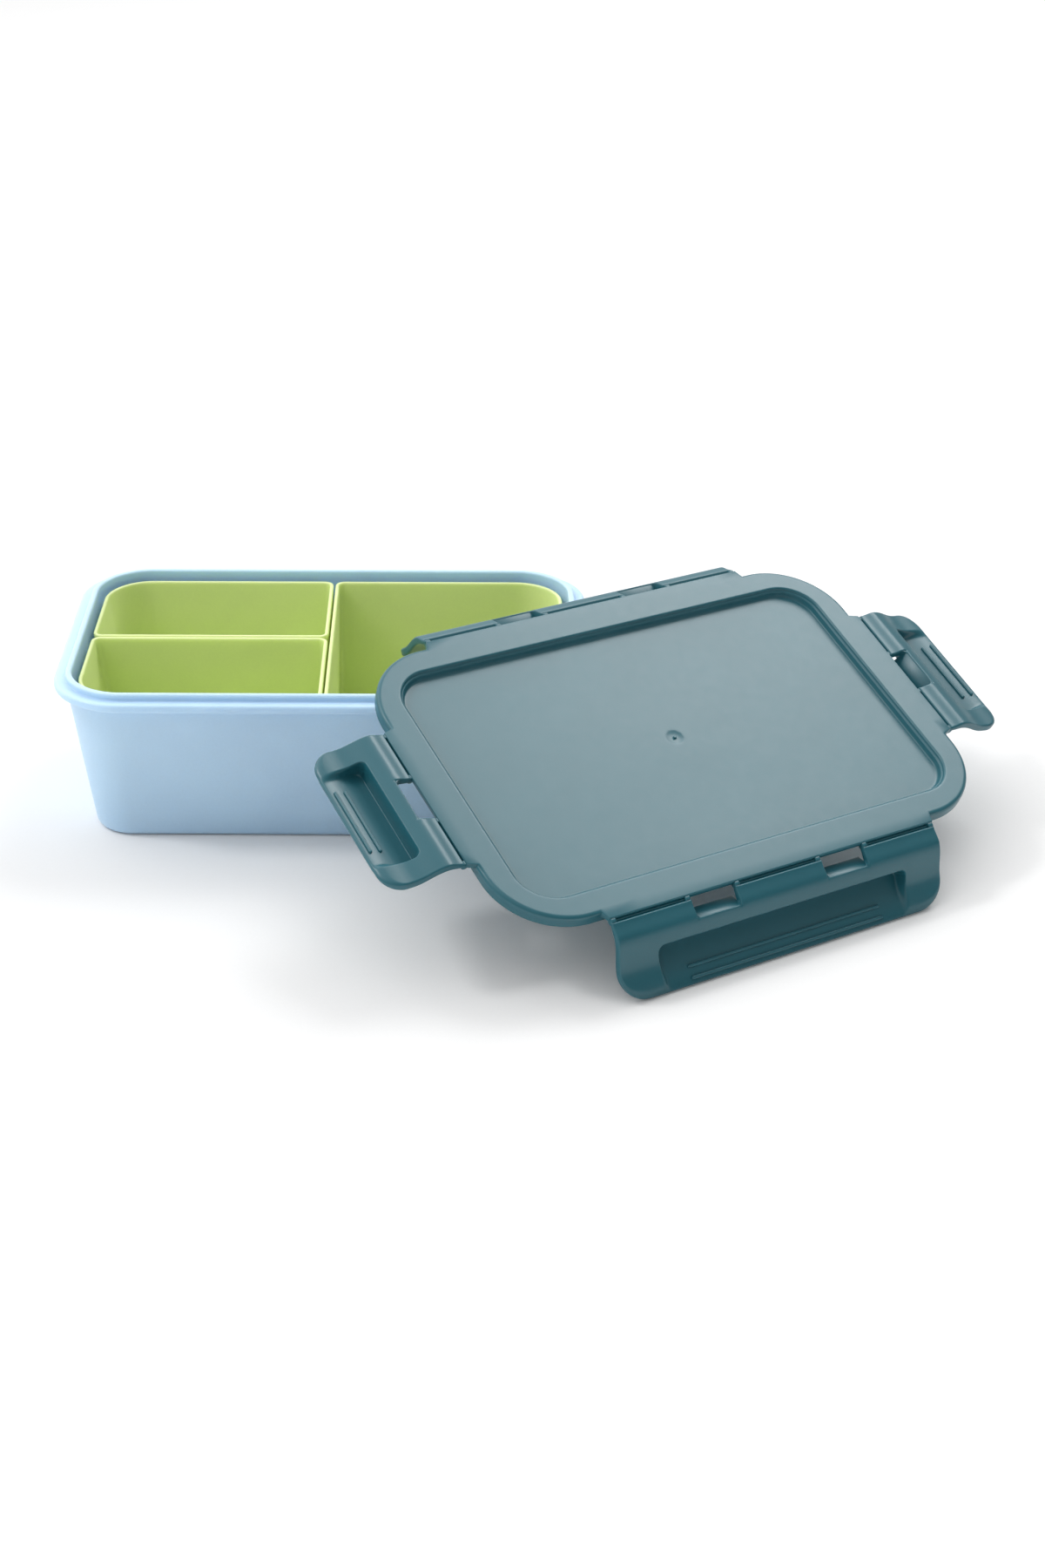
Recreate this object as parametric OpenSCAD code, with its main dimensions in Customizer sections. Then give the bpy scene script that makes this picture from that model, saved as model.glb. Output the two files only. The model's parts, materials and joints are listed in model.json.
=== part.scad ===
// Lunch box: a drafted tub with a stepped rim, three lift-out trays, and a lid
// that leans on the tub's front right corner. The lid carries a silicone
// gasket and four snap latches, each on a moulded film hinge.
// Units are millimetres. X runs along the box, Y to the back and Z up. The
// origin is the middle of the tub's underside.

/* [Box] */
// Length over the tub's flange
box_length = 220; // [180:1:264]
// Width over the tub's flange
box_width = 140; // [115:1:170]
// Height from the underside to the top of the lip
box_height = 69; // [55:1:84]
// Corner radius of the flange, seen from above
corner_radius = 30; // [25:0.5:36]
// How far the walls lean in between the flange and the underside
wall_draft = 9; // [6:0.5:11]

/* [Tub] */
// How far the flange stands out from the lip
flange_reach = 4.8; // [3.8:0.1:6]
// Thickness of the flange that the latches grip
flange_thickness = 3.6; // [2.8:0.1:4.4]
// Height of the lip above the flange
lip_height = 2.7; // [2:0.1:3.2]
// Thickness of the lip
lip_thickness = 2.6; // [2:0.1:3.2]
// Thickness of the wall at the floor
tub_wall = 2.2; // [1.6:0.1:3]
// Thickness of the tub's floor
tub_floor = 2.6; // [1.8:0.1:3.4]

/* [Trays] */
// How far the trays sit below the top of the lip
tray_drop = 3.9; // [3:0.1:6]
// Gap between the lip and the trays
tray_gap = 2.4; // [1.6:0.1:3]
// Gap between neighbouring trays
tray_split = 0.9; // [0.6:0.1:2]
// Wall thickness of the trays
tray_wall = 1.6; // [1.2:0.1:2]
// Radius of the tray corners that meet another tray
tray_corner = 4; // [3:0.5:6]

/* [Lid] */
// How far the lid stands out beyond the flange on each side
lid_overhang = 0.5; // [0.3:0.1:1]
// Depth of the lid's skirt
skirt_height = 5.2; // [4.8:0.1:6.5]
// Thickness of the raised border
border_thickness = 1.8; // [1.4:0.1:2.2]
// Distance from the gasket to the edge of the recessed panel
panel_set_back = 3.2; // [3:0.1:6]
// How much smaller the panel's corner radius is than the flange's
panel_corner_step = 15; // [10:0.5:15.5]
// How far the hinge lines stand out from the lid
hinge_reach = 3.6; // [3:0.1:4.4]

/* [Latches] */
// Length from the hinge to the tip
latch_length = 32; // [26:0.5:38.5]
// Width of the front and back latches
long_latch_width = 150; // [120:1:160]
// Width of the left and right latches
short_latch_width = 68; // [56:1:80]
// Width of each window beside the hinge
window_width = 20; // [16:0.5:24]
// How far the hooks reach under the flange
hook_grip = 3; // [2.4:0.1:3.6]

/* [Leaning lid] */
// Turn of the lid about the vertical
lid_yaw = 29.6; // [20:0.1:40]
// Slope of the front latch, which stands on its tip
front_latch_slope = 67.8; // [60:0.1:75]
// Place along the lid where it rests on the tub
rest_along_lid = -34.3; // [-45:0.1:-20]
// Place across the lid where it rests on the tub
rest_across_lid = 37.4; // [30:0.1:45]
// Fold of the left latch below the lid's plane
fold_left = 4; // [0:0.5:30]
// Fold of the right latch below the lid's plane
fold_right = 12; // [0:0.5:30]

/* [Hidden] */
$fn = 64;

tub_blue = [0.68, 0.81, 0.92];
tray_green = [0.68, 0.80, 0.40];
lid_teal = [0.44, 0.60, 0.62];
gasket_grey = [0.80, 0.84, 0.85];

far = 400;
cut = 1;

// Heights and insets of the tub
flange_top = box_height - lip_height;
flange_bottom = flange_top - flange_thickness;
lip_inset = flange_reach + lip_thickness;
base_inset = flange_reach + wall_draft;
flange_round = 1.3;
lip_round = 0.9;
base_round = 3;
inner_round = 3;
inner_slope = (base_inset + tub_wall - lip_inset) / flange_bottom;
outer_slope = wall_draft / flange_bottom;

// Trays
tray_top = box_height - tray_drop;
tray_clearance = 0.3;
tray_bottom = tub_floor + tray_clearance;
tray_floor = 1.6;
tray_inset = lip_inset + tray_gap;
tray_round = 3;
tray_lean = atan(inner_slope);

// Gasket, centred over the tub's lip when the lid is closed
gasket_centre = lid_overhang + flange_reach + lip_thickness / 2;
gasket_width = 3.4;
gasket_height = 1.1;
gasket_bead = 0.8;
gasket_side_gap = 0.3;

// Lid, in its own frame: z = 0 is the top of the border
lid_length = box_length + 2 * lid_overhang;
lid_width = box_width + 2 * lid_overhang;
lid_radius = corner_radius + lid_overhang;
border_width = gasket_centre + gasket_width / 2 + panel_set_back;
panel_radius = corner_radius - panel_corner_step;
panel_length = lid_length - 2 * border_width;
panel_width = lid_width - 2 * border_width;
panel_thickness = 1.4;
panel_depth = skirt_height - panel_thickness;
panel_draft = 1.2;
skirt_wall = 1.6;
edge_round = 1.6;
recess_wall = 1.2;
rib_depth = 1.6;
rib_wall = 0.9;
gate_radius = 3.8;
gate_depth = 0.35;

// Film hinges and latches
tab_thickness = 2.2;
tab_flare = 1.5;
hinge_depth = 1.9;
film_radius = 0.5;
film_clearance = 0.08;
film_end_radius = 1.6;
film_end_length = 2.4;
hinge_gap = 0.7;
long_window_places = [-long_latch_width / 5, long_latch_width / 5];
short_window_places = [0];
window_corner = 2;
catch_clearance = 0.2;
catch_distance = skirt_height + flange_thickness - hinge_depth + catch_clearance;
hook_width = window_width - 1;
// Each window ends in a slope that leads down to its hook, clear of the flange's edge
slope_reach = 2.9;
slope_low = -(hinge_reach + lid_overhang - 1.2);
slope_seat = 0.3;
hook_nose = -(hinge_reach + lid_overhang + hook_grip);
shoulder_place = 7;
waist_place = 21;
bulb_place = latch_length - 4;
shoulder_height = 3.9;
waist_height = 1;
bulb_top = 1.3;
bulb_bottom = -2.4;
bulb_middle = (bulb_top + bulb_bottom) / 2;
bulb_half = (bulb_top - bulb_bottom) / 2;
shoulder_thickness = 3.2;
section_steps = 36;
scoop_start = 13;
scoop_deepest = 14.5;
scoop_wall = 1.6;
scoop_floor_height = -4.6;
scoop_tip_height = 0.3;
scoop_corner = 3;
long_cheek = 17;
short_cheek = 9.5;
long_tip_corner = 12;
short_tip_corner = 9;
grip_rib_radius = 0.7;
grip_rib_places = [latch_length - 7, latch_length - 2.8];
long_rib_margin = 13;
short_rib_margin = 9;

// The leaning lid touches the tub's lip at its front right corner, and the
// front latch's tip stands just above the floor.
rest_gap = 0.3;
floor_gap = 0.2;
tip_low = scoop_tip_height - scoop_wall;
front_hinge_height = floor_gap + latch_length * sin(front_latch_slope)
                   - tip_low * cos(front_latch_slope);
hinge_half_length = lid_length / 2 + hinge_reach;
hinge_half_width = lid_width / 2 + hinge_reach;
rise = box_height + rest_gap - front_hinge_height;
run = rest_across_lid + hinge_half_width;
step = skirt_height - hinge_depth;
lid_tilt = asin(rise / norm([run, step])) + atan2(step, run);
rest_radius = corner_radius - flange_reach;
rest_point = [box_length / 2 - corner_radius + rest_radius * sin(lid_yaw),
              -(box_width / 2 - corner_radius) - rest_radius * cos(lid_yaw),
              box_height + rest_gap];
rest_drop = rest_across_lid * cos(lid_tilt) + skirt_height * sin(lid_tilt);
lid_place = [rest_point[0] - rest_along_lid * cos(lid_yaw) + rest_drop * sin(lid_yaw),
             rest_point[1] - rest_along_lid * sin(lid_yaw) - rest_drop * cos(lid_yaw),
             front_hinge_height + hinge_half_width * sin(lid_tilt) + hinge_depth * cos(lid_tilt)];
fold_front = front_latch_slope - lid_tilt;
back_clearance = 0.6;
back_hinge_height = lid_place[2] + hinge_half_width * sin(lid_tilt) - hinge_depth * cos(lid_tilt);
back_drop = back_hinge_height - box_height - back_clearance;
fold_back = lid_tilt + asin(back_drop / norm([latch_length, tip_low])) + atan2(tip_low, latch_length);

// A half wave that eases from a to b as t runs from 0 to 1
function ease(a, b, t) = a + (b - a) * (1 - cos(180 * t)) / 2;

// Outer face of a latch at distance u from its hinge
function latch_top(u) =
    u < shoulder_place ? ease(hinge_depth, shoulder_height, u / shoulder_place)
    : u < waist_place ? ease(shoulder_height, waist_height, (u - shoulder_place) / (waist_place - shoulder_place))
    : u < bulb_place ? ease(waist_height, bulb_top, (u - waist_place) / (bulb_place - waist_place))
    : bulb_middle + bulb_half * tip_fall(u);

// Inner face of a latch at distance u from its hinge
function latch_under(u) =
    u < shoulder_place ? latch_top(u) - ease(hinge_depth + 0.3, shoulder_thickness, u / shoulder_place)
    : u < waist_place ? ease(shoulder_height - shoulder_thickness, bulb_bottom,
                             (u - shoulder_place) / (waist_place - shoulder_place))
    : u < bulb_place ? bulb_bottom
    : bulb_middle - bulb_half * tip_fall(u);

// Elliptical fall from 1 at the bulb to 0 at the tip
function tip_fall(u) = sqrt(max(0, 1 - pow((u - bulb_place) / (latch_length - bulb_place), 2)));

// Floor of the finger scoop at distance u from the hinge
function scoop_height(u) =
    ease(scoop_floor_height, scoop_tip_height, max(0, u - scoop_deepest) / (latch_length - scoop_deepest));

// Stations along the latch from start to end, closer together near the end
function stations(start, end) =
    [for (i = [0:section_steps]) start + (end - start) * sin(90 * i / section_steps)];

// Keeps the part of a section on the outer side of the corner axis
module clip_section() {
    intersection() {
        translate([0, -far])
            square([far, 2 * far]);
        children();
    }
}

// A quarter of a block with one rounded vertical corner
module quarter_block(half_length, half_width, radius) {
    translate([half_length - radius, half_width - radius, 0])
        rotate_extrude(angle = 90)
            clip_section() translate([radius, 0]) children();
    rotate([90, 0, 90])
        linear_extrude(half_length - radius)
            clip_section() translate([half_width, 0]) children();
    translate([0, half_width - radius, 0])
        rotate([90, 0, 0])
            linear_extrude(half_width - radius)
                clip_section() translate([half_length, 0]) children();
}

// A block with four rounded vertical corners. The child is its section:
// x = 0 is the outer face, x < 0 runs towards the middle and y is height.
module rounded_block(length, width, radius) {
    for (turn_x = [0, 1], turn_y = [0, 1])
        mirror([turn_x, 0, 0])
            mirror([0, turn_y, 0])
                quarter_block(length / 2, width / 2, radius) children();
}

// Solid section that leans in by slope, with a rounded lower edge
module leaning_section(inset, slope, pivot, bottom, top, round) {
    lean = atan(slope);
    centre = [-inset - slope * (pivot - bottom - round) - round / cos(lean), bottom + round];
    polygon([[-far, bottom],
             [centre[0], bottom],
             centre + round * [cos(lean), -sin(lean)],
             [-inset - slope * (pivot - top), top],
             [-far, top]]);
    translate(centre)
        circle(r = round);
}

module flange_section() {
    for (z = [flange_bottom + flange_round, flange_top - flange_round])
        translate([-flange_round, z])
            circle(r = flange_round);
    translate([-far, flange_bottom])
        square([far - flange_round, flange_thickness]);
    translate([-far, flange_bottom + flange_round])
        square([far, flange_thickness - 2 * flange_round]);
}

module lip_section() {
    translate([-far, flange_bottom])
        square([far - flange_reach, box_height - flange_bottom - lip_round]);
    translate([-far, flange_bottom])
        square([far - flange_reach - lip_round, box_height - flange_bottom]);
    translate([-flange_reach - lip_round, box_height - lip_round])
        circle(r = lip_round);
}

module tub_outer_section() {
    leaning_section(flange_reach, outer_slope, flange_bottom, 0, flange_bottom, base_round);
    flange_section();
    lip_section();
}

module tub_inner_section() {
    leaning_section(lip_inset, inner_slope, flange_bottom, tub_floor, flange_bottom, inner_round);
    translate([-far, flange_bottom - cut])
        square([far - lip_inset, lip_height + flange_thickness + 2 * cut]);
    difference() {
        translate([-lip_inset - cut, box_height - lip_round])
            square([lip_round + cut, lip_round + cut]);
        translate([-lip_inset + lip_round, box_height - lip_round])
            circle(r = lip_round);
    }
}

module tub() {
    color(tub_blue)
        difference() {
            rounded_block(box_length, box_width, corner_radius)
                tub_outer_section();
            rounded_block(box_length, box_width, corner_radius)
                tub_inner_section();
        }
}

// A tall block that fills x > 0 and y > 0, with its vertical edge rounded
module soft_edge(radius) {
    translate([radius, 0, -far / 2])
        cube([far, far, far]);
    translate([0, radius, -far / 2])
        cube([far, far, far]);
    translate([radius, radius, -far / 2])
        cylinder(r = radius, h = far);
}

// The space that all trays share, shrunk by a margin
module tray_space(margin, bottom, top) {
    rounded_block(box_length, box_width, corner_radius)
        leaning_section(tray_inset + margin, inner_slope, tray_top, bottom, top, tray_round);
}

// One straight upper edge of the trays, at the length and width given
module leaning_edge(x, y, lean_x, lean_y, flip_x, flip_y, margin) {
    translate([x, y, tray_top])
        rotate([lean_x, lean_y, 0])
            mirror([flip_x, 0, 0])
                mirror([0, flip_y, 0])
                    soft_edge(tray_corner - margin);
}

module small_tray_form(margin, bottom, top) {
    inner = tray_split / 2 + margin;
    outer_x = box_length / 2 - tray_inset - margin;
    outer_y = box_width / 2 - tray_inset - margin;
    intersection() {
        tray_space(margin, bottom, top);
        leaning_edge(-inner, inner, 0, 0, 1, 0, margin);
        leaning_edge(-outer_x, inner, 0, -tray_lean, 0, 0, margin);
        leaning_edge(-inner, outer_y, -tray_lean, 0, 1, 1, margin);
    }
}

module large_tray_form(margin, bottom, top) {
    inner = tray_split / 2 + margin;
    outer_y = box_width / 2 - tray_inset - margin;
    intersection() {
        tray_space(margin, bottom, top);
        leaning_edge(inner, outer_y, -tray_lean, 0, 0, 1, margin);
        leaning_edge(inner, -outer_y, tray_lean, 0, 0, 0, margin);
    }
}

module tray_back_left() {
    color(tray_green)
        difference() {
            small_tray_form(0, tray_bottom, tray_top);
            small_tray_form(tray_wall, tray_bottom + tray_floor, tray_top + cut);
        }
}

module tray_front_left() {
    mirror([0, 1, 0])
        tray_back_left();
}

module tray_right() {
    color(tray_green)
        difference() {
            large_tray_form(0, tray_bottom, tray_top);
            large_tray_form(tray_wall, tray_bottom + tray_floor, tray_top + cut);
        }
}

// Moves a piece drawn in the lid's frame to where the lid leans
module on_lid() {
    translate(lid_place)
        rotate([lid_tilt, 0, lid_yaw])
            children();
}

module lid_outer_section() {
    translate([-far, -skirt_height])
        square([far, skirt_height - edge_round]);
    translate([-far, -skirt_height])
        square([far - edge_round, skirt_height]);
    translate([-edge_round, -edge_round])
        circle(r = edge_round);
}

module recess_section() {
    polygon([[-far, -panel_depth],
             [-panel_draft, -panel_depth],
             [0, 0],
             [0, cut],
             [-far, cut]]);
}

module recess_wall_section() {
    polygon([[-far, -skirt_height - 2 * cut],
             [recess_wall - panel_draft, -skirt_height - 2 * cut],
             [recess_wall - panel_draft, -skirt_height],
             [recess_wall, -border_thickness + cut],
             [-far, -border_thickness + cut]]);
}

module channel_section() {
    translate([-far, -skirt_height - cut])
        square([far - skirt_wall, skirt_height + cut - border_thickness]);
}

module gasket_rib_section() {
    translate([-gasket_centre + gasket_width / 2 + gasket_side_gap, -border_thickness - rib_depth])
        square([rib_wall, rib_depth + cut / 2]);
}

// Turns a side's frame: x along the hinge, y outwards, z up, on the hinge axis
module at_hinge(turn, distance) {
    rotate([0, 0, turn])
        translate([0, distance, -hinge_depth])
            children();
}

module along_hinge(length) {
    translate([-length / 2, 0, 0])
        rotate([90, 0, 90])
            linear_extrude(length)
                children();
}

// The film's round beads between the windows, grown by a clearance
module film(width, places, clearance) {
    spread = window_width / 2;
    starts = concat([-width / 2], [for (x = places) x + spread]);
    ends = concat([for (x = places) x - spread], [width / 2]);
    for (i = [0:len(starts) - 1]) {
        translate([starts[i] - clearance, 0, 0])
            rotate([0, 90, 0])
                cylinder(r = film_radius + clearance, h = ends[i] - starts[i] + 2 * clearance);
        for (x = [starts[i], ends[i] - film_end_length])
            translate([x - clearance, 0, 0])
                rotate([0, 90, 0])
                    cylinder(r = film_end_radius + clearance, h = film_end_length + 2 * clearance);
    }
}

// The strip of lid that carries a film hinge
module hinge_tab(width, places) {
    difference() {
        translate([0, 0, hinge_depth - tab_thickness])
            linear_extrude(tab_thickness)
                polygon([[-width / 2 - tab_flare, -hinge_reach - skirt_wall],
                         [-width / 2 - tab_flare, -hinge_reach],
                         [-width / 2, -hinge_gap / 2],
                         [width / 2, -hinge_gap / 2],
                         [width / 2 + tab_flare, -hinge_reach],
                         [width / 2 + tab_flare, -hinge_reach - skirt_wall]]);
        film(width, places, 0);
    }
}

module lid() {
    color(lid_teal)
        on_lid() {
            difference() {
                rounded_block(lid_length, lid_width, lid_radius)
                    lid_outer_section();
                rounded_block(panel_length, panel_width, panel_radius)
                    recess_section();
                difference() {
                    rounded_block(lid_length, lid_width, lid_radius)
                        channel_section();
                    rounded_block(panel_length, panel_width, panel_radius)
                        recess_wall_section();
                }
                translate([0, 0, -panel_depth - gate_depth])
                    cylinder(r = gate_radius, h = panel_depth);
            }
            translate([0, 0, -panel_depth - cut])
                cylinder(r = gate_radius / 6, h = cut + gate_depth);
            rounded_block(lid_length, lid_width, lid_radius)
                gasket_rib_section();
            for (turn = [0, 180])
                at_hinge(turn, hinge_half_width)
                    hinge_tab(long_latch_width, long_window_places);
            for (turn = [90, -90])
                at_hinge(turn, hinge_half_length)
                    hinge_tab(short_latch_width, short_window_places);
        }
}

module lid_gasket() {
    color(gasket_grey)
        on_lid()
            rounded_block(lid_length, lid_width, lid_radius) {
                translate([-gasket_centre - gasket_width / 2, -border_thickness - gasket_height])
                    square([gasket_width, gasket_height]);
                translate([-gasket_centre, -border_thickness - gasket_height])
                    circle(r = gasket_bead);
            }
}

module film_hinge(turn, distance, width, places) {
    color(lid_teal)
        on_lid()
            at_hinge(turn, distance)
                film(width, places, 0);
}

module film_hinge_front() {
    film_hinge(180, hinge_half_width, long_latch_width, long_window_places);
}

module film_hinge_back() {
    film_hinge(0, hinge_half_width, long_latch_width, long_window_places);
}

module film_hinge_left() {
    film_hinge(90, hinge_half_length, short_latch_width, short_window_places);
}

module film_hinge_right() {
    film_hinge(-90, hinge_half_length, short_latch_width, short_window_places);
}

// Section of the latch plate from the hinge to the tip
module latch_section() {
    places = stations(hinge_gap / 2, latch_length);
    polygon(concat([for (u = places) [u, latch_top(u)]],
                   [for (i = [section_steps - 1:-1:0]) [places[i], latch_under(places[i])]]));
}

// Section of the pan that carries the finger scoop
module pan_section() {
    places = stations(scoop_start - scoop_wall, latch_length);
    polygon(concat([for (u = places) [u, latch_top(u)]],
                   [for (i = [section_steps:-1:0]) [places[i], scoop_height(places[i]) - scoop_wall]]));
}

// Section of the space above the scoop's floor
module scoop_section() {
    places = stations(scoop_start, latch_length + cut);
    polygon(concat([[scoop_start, far / 10]],
                   [for (u = places) [u, scoop_height(min(u, latch_length))]],
                   [[latch_length + cut, far / 10]]));
}

// Section of the hook that catches under the flange
module hook_section() {
    ramp = 5.5;
    nose_chamfer = 0.7;
    polygon([[catch_distance, 1],
             [catch_distance, hook_nose + nose_chamfer],
             [catch_distance + nose_chamfer, hook_nose],
             [catch_distance + 2 * nose_chamfer, hook_nose],
             [catch_distance + ramp, -0.5],
             [catch_distance + ramp, 1]]);
}

// Section of the slope from the plate's outer face down to the catch
module slope_section() {
    brow = latch_top(catch_distance) - 0.35;
    toe = 0.45;
    polygon([[catch_distance + 2 * slope_seat, brow],
             [catch_distance, brow],
             [catch_distance - slope_reach, slope_low + toe],
             [catch_distance - slope_reach + toe, slope_low],
             [catch_distance + 2 * slope_seat, slope_low]]);
}

// Plan of a strip from start to end with two rounded corners at one end
module strip_plan(width, start, end, radius) {
    translate([-width / 2, min(start, end)])
        square([width, abs(end - start) - radius]);
    translate([-width / 2 + radius, min(start, end)])
        square([width - 2 * radius, abs(end - start)]);
    for (x = [-width / 2 + radius, width / 2 - radius])
        translate([x, max(start, end) - radius])
            circle(r = radius);
}

module upright(plan_top) {
    translate([0, 0, -plan_top])
        linear_extrude(2 * plan_top)
            children();
}

module latch_body(width, cheek, tip_corner, rib_margin, places) {
    reach = 20;
    pocket = width - 2 * cheek;
    difference() {
        intersection() {
            union() {
                along_hinge(width)
                    latch_section();
                along_hinge(pocket + 2 * scoop_wall)
                    pan_section();
            }
            upright(reach)
                strip_plan(width, 0, latch_length, tip_corner);
        }
        intersection() {
            along_hinge(pocket)
                scoop_section();
            upright(reach)
                mirror([0, 1])
                    translate([0, -latch_length - reach - scoop_start])
                        strip_plan(pocket, 0, latch_length + reach, scoop_corner);
        }
        for (x = places)
            translate([x, 0, 0])
                upright(reach)
                    strip_plan(window_width, -cut, catch_distance, window_corner);
        film(width, places, film_clearance);
    }
    for (x = places)
        translate([x, 0, 0]) {
            along_hinge(hook_width)
                hook_section();
            along_hinge(window_width + 2 * slope_seat)
                slope_section();
        }
    for (u = grip_rib_places)
        grip_rib(pocket - 2 * rib_margin, u);
}

module grip_rib(length, u) {
    translate([-length / 2, u, scoop_height(u)]) {
        rotate([0, 90, 0])
            cylinder(r = grip_rib_radius, h = length);
        sphere(r = grip_rib_radius);
        translate([length, 0, 0])
            sphere(r = grip_rib_radius);
    }
}

module long_latch(turn, fold) {
    color(lid_teal)
        on_lid()
            at_hinge(turn, hinge_half_width)
                rotate([-fold, 0, 0])
                    latch_body(long_latch_width, long_cheek, long_tip_corner, long_rib_margin,
                               long_window_places);
}

module short_latch(turn, fold) {
    color(lid_teal)
        on_lid()
            at_hinge(turn, hinge_half_length)
                rotate([-fold, 0, 0])
                    latch_body(short_latch_width, short_cheek, short_tip_corner, short_rib_margin,
                               short_window_places);
}

module latch_front() {
    long_latch(180, fold_front);
}

module latch_back() {
    long_latch(0, fold_back);
}

module latch_left() {
    short_latch(90, fold_left);
}

module latch_right() {
    short_latch(-90, fold_right);
}

tub();
tray_front_left();
tray_back_left();
tray_right();
lid();
lid_gasket();
film_hinge_front();
film_hinge_back();
film_hinge_left();
film_hinge_right();
latch_front();
latch_back();
latch_left();
latch_right();
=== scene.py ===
# %% [markdown]
# # A lunch box with its lid leaning on it
#
# This lesson finishes a moulded plastic lunch box: a pale blue tub, three
# lime green trays that lift out, and a teal lid with four snap latches.
# A plain working model of the same box is loaded first and is called the
# frame. It fixes every size and place. Each piece made here stands exactly
# where the frame says, with the soft edges, thin ribs and surface finish
# that an injection mould gives.
#
# All sizes are written in millimetres, the way a mould maker writes them,
# and multiplied by MM, because Blender works in metres.

# %% Load the frame
import json
import math

import bmesh
import bpy
import numpy as np
from mathutils import Matrix, Vector


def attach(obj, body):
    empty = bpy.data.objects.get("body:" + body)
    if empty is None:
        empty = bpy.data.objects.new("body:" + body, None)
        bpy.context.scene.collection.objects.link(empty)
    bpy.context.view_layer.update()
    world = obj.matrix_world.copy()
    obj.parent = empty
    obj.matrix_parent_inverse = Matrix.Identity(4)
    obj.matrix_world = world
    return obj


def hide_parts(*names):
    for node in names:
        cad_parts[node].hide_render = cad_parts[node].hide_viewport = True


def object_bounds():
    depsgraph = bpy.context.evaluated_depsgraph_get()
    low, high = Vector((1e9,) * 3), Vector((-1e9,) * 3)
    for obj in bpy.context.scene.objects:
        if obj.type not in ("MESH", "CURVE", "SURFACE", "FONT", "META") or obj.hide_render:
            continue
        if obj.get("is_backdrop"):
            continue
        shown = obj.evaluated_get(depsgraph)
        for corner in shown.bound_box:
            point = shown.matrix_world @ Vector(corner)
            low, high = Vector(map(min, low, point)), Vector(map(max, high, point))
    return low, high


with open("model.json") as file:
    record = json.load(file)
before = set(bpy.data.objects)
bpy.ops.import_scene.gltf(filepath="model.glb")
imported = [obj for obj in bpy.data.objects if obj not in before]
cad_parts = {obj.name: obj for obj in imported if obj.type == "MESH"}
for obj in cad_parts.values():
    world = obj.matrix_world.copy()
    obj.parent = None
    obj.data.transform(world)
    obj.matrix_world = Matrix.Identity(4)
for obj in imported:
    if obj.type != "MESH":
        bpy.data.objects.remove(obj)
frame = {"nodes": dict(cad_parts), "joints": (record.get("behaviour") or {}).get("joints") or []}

MM = 0.001
cad_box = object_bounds()
print("frame nodes:", ", ".join(sorted(frame["nodes"])))

# %% [markdown]
# ## The camera
#
# A camera is easiest to place from what it looks at. It stands one metre
# from a point beside the box, turned down 28 degrees, with a lens that
# gives the mild perspective of a product picture. The small shift slides
# the frame sideways without turning the camera, so upright edges keep the
# slight lean that they have from this height.

# %% Place the camera
camera_distance = 996.9657
camera_pitch = math.radians(27.714)
camera_yaw = math.radians(-0.327)
camera_roll = math.radians(0.109)
look_right = 41.6907
look_up = -0.335

forward = Vector((math.sin(camera_yaw) * math.cos(camera_pitch),
                  math.cos(camera_yaw) * math.cos(camera_pitch),
                  -math.sin(camera_pitch)))
level_right = Vector((math.cos(camera_yaw), -math.sin(camera_yaw), 0))
roll_turn = Matrix.Rotation(-camera_roll, 3, forward)
camera_right = roll_turn @ level_right
camera_up = camera_right.cross(forward)
camera_place = (camera_right * look_right + camera_up * look_up - forward * camera_distance) * MM

camera_data = bpy.data.cameras.new("camera")
camera_data.sensor_fit = "VERTICAL"
camera_data.sensor_height = 36
camera_data.lens = 52.566
camera_data.shift_x = 0.0606
camera_data.shift_y = -0.0063
camera = bpy.data.objects.new("camera", camera_data)
axes = Matrix((camera_right, camera_up, -forward)).transposed()
camera.matrix_world = Matrix.Translation(camera_place) @ axes.to_4x4()
bpy.context.scene.collection.objects.link(camera)
bpy.context.scene.camera = camera
print("camera at", [round(v, 3) for v in camera_place])

# %% [markdown]
# ## Colours and materials
#
# The tub, trays and lid are injection-moulded polypropylene. Its pigment is
# mixed right through, so a scratch shows the same colour, and a little
# light enters the wall and comes out softened a few millimetres away. The
# steel mould was spark-eroded to a fine even grain, which spreads every
# highlight into a satin glow. Slow cooling leaves a quieter mark: a faint
# drift of colour and gloss along the way that the melt ran.
#
# Each of these is one noise pattern whose scale comes from its real size.
# The real grain is finer than a tenth of a millimetre. It is drawn coarser
# here, at a quarter of a millimetre, so that it shows at all.

# %% Colour and node helpers
def linear(hex_colour):
    """Turns an sRGB hex colour into the linear colour that shaders use."""
    channels = [int(hex_colour[i:i + 2], 16) / 255 for i in (1, 3, 5)]
    bent = [c / 12.92 if c <= 0.04045 else ((c + 0.055) / 1.055) ** 2.4 for c in channels]
    return (*bent, 1.0)


def scaled(colour, factor):
    """Makes a linear colour darker or lighter."""
    return (*[c * factor for c in colour[:3]], 1.0)


def add_node(tree, kind, settings, links):
    """Adds one node, sets its options, and fills or links its sockets."""
    node = tree.nodes.new(kind)
    for name, value in settings.items():
        setattr(node, name, value)
    for name, value in links.items():
        if isinstance(value, bpy.types.NodeSocket):
            tree.links.new(value, node.inputs[name])
        else:
            node.inputs[name].default_value = value
    return node


print("pale blue in linear light:", [round(c, 3) for c in linear("#B9D6EF")])

# %% Moulded plastic
melt_drift_size = 55.0
speckle_size = 0.9
gloss_patch_size = 4.0
gloss_drift = 0.015
grain_size = 0.24
glow_reach = 4.0


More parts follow.
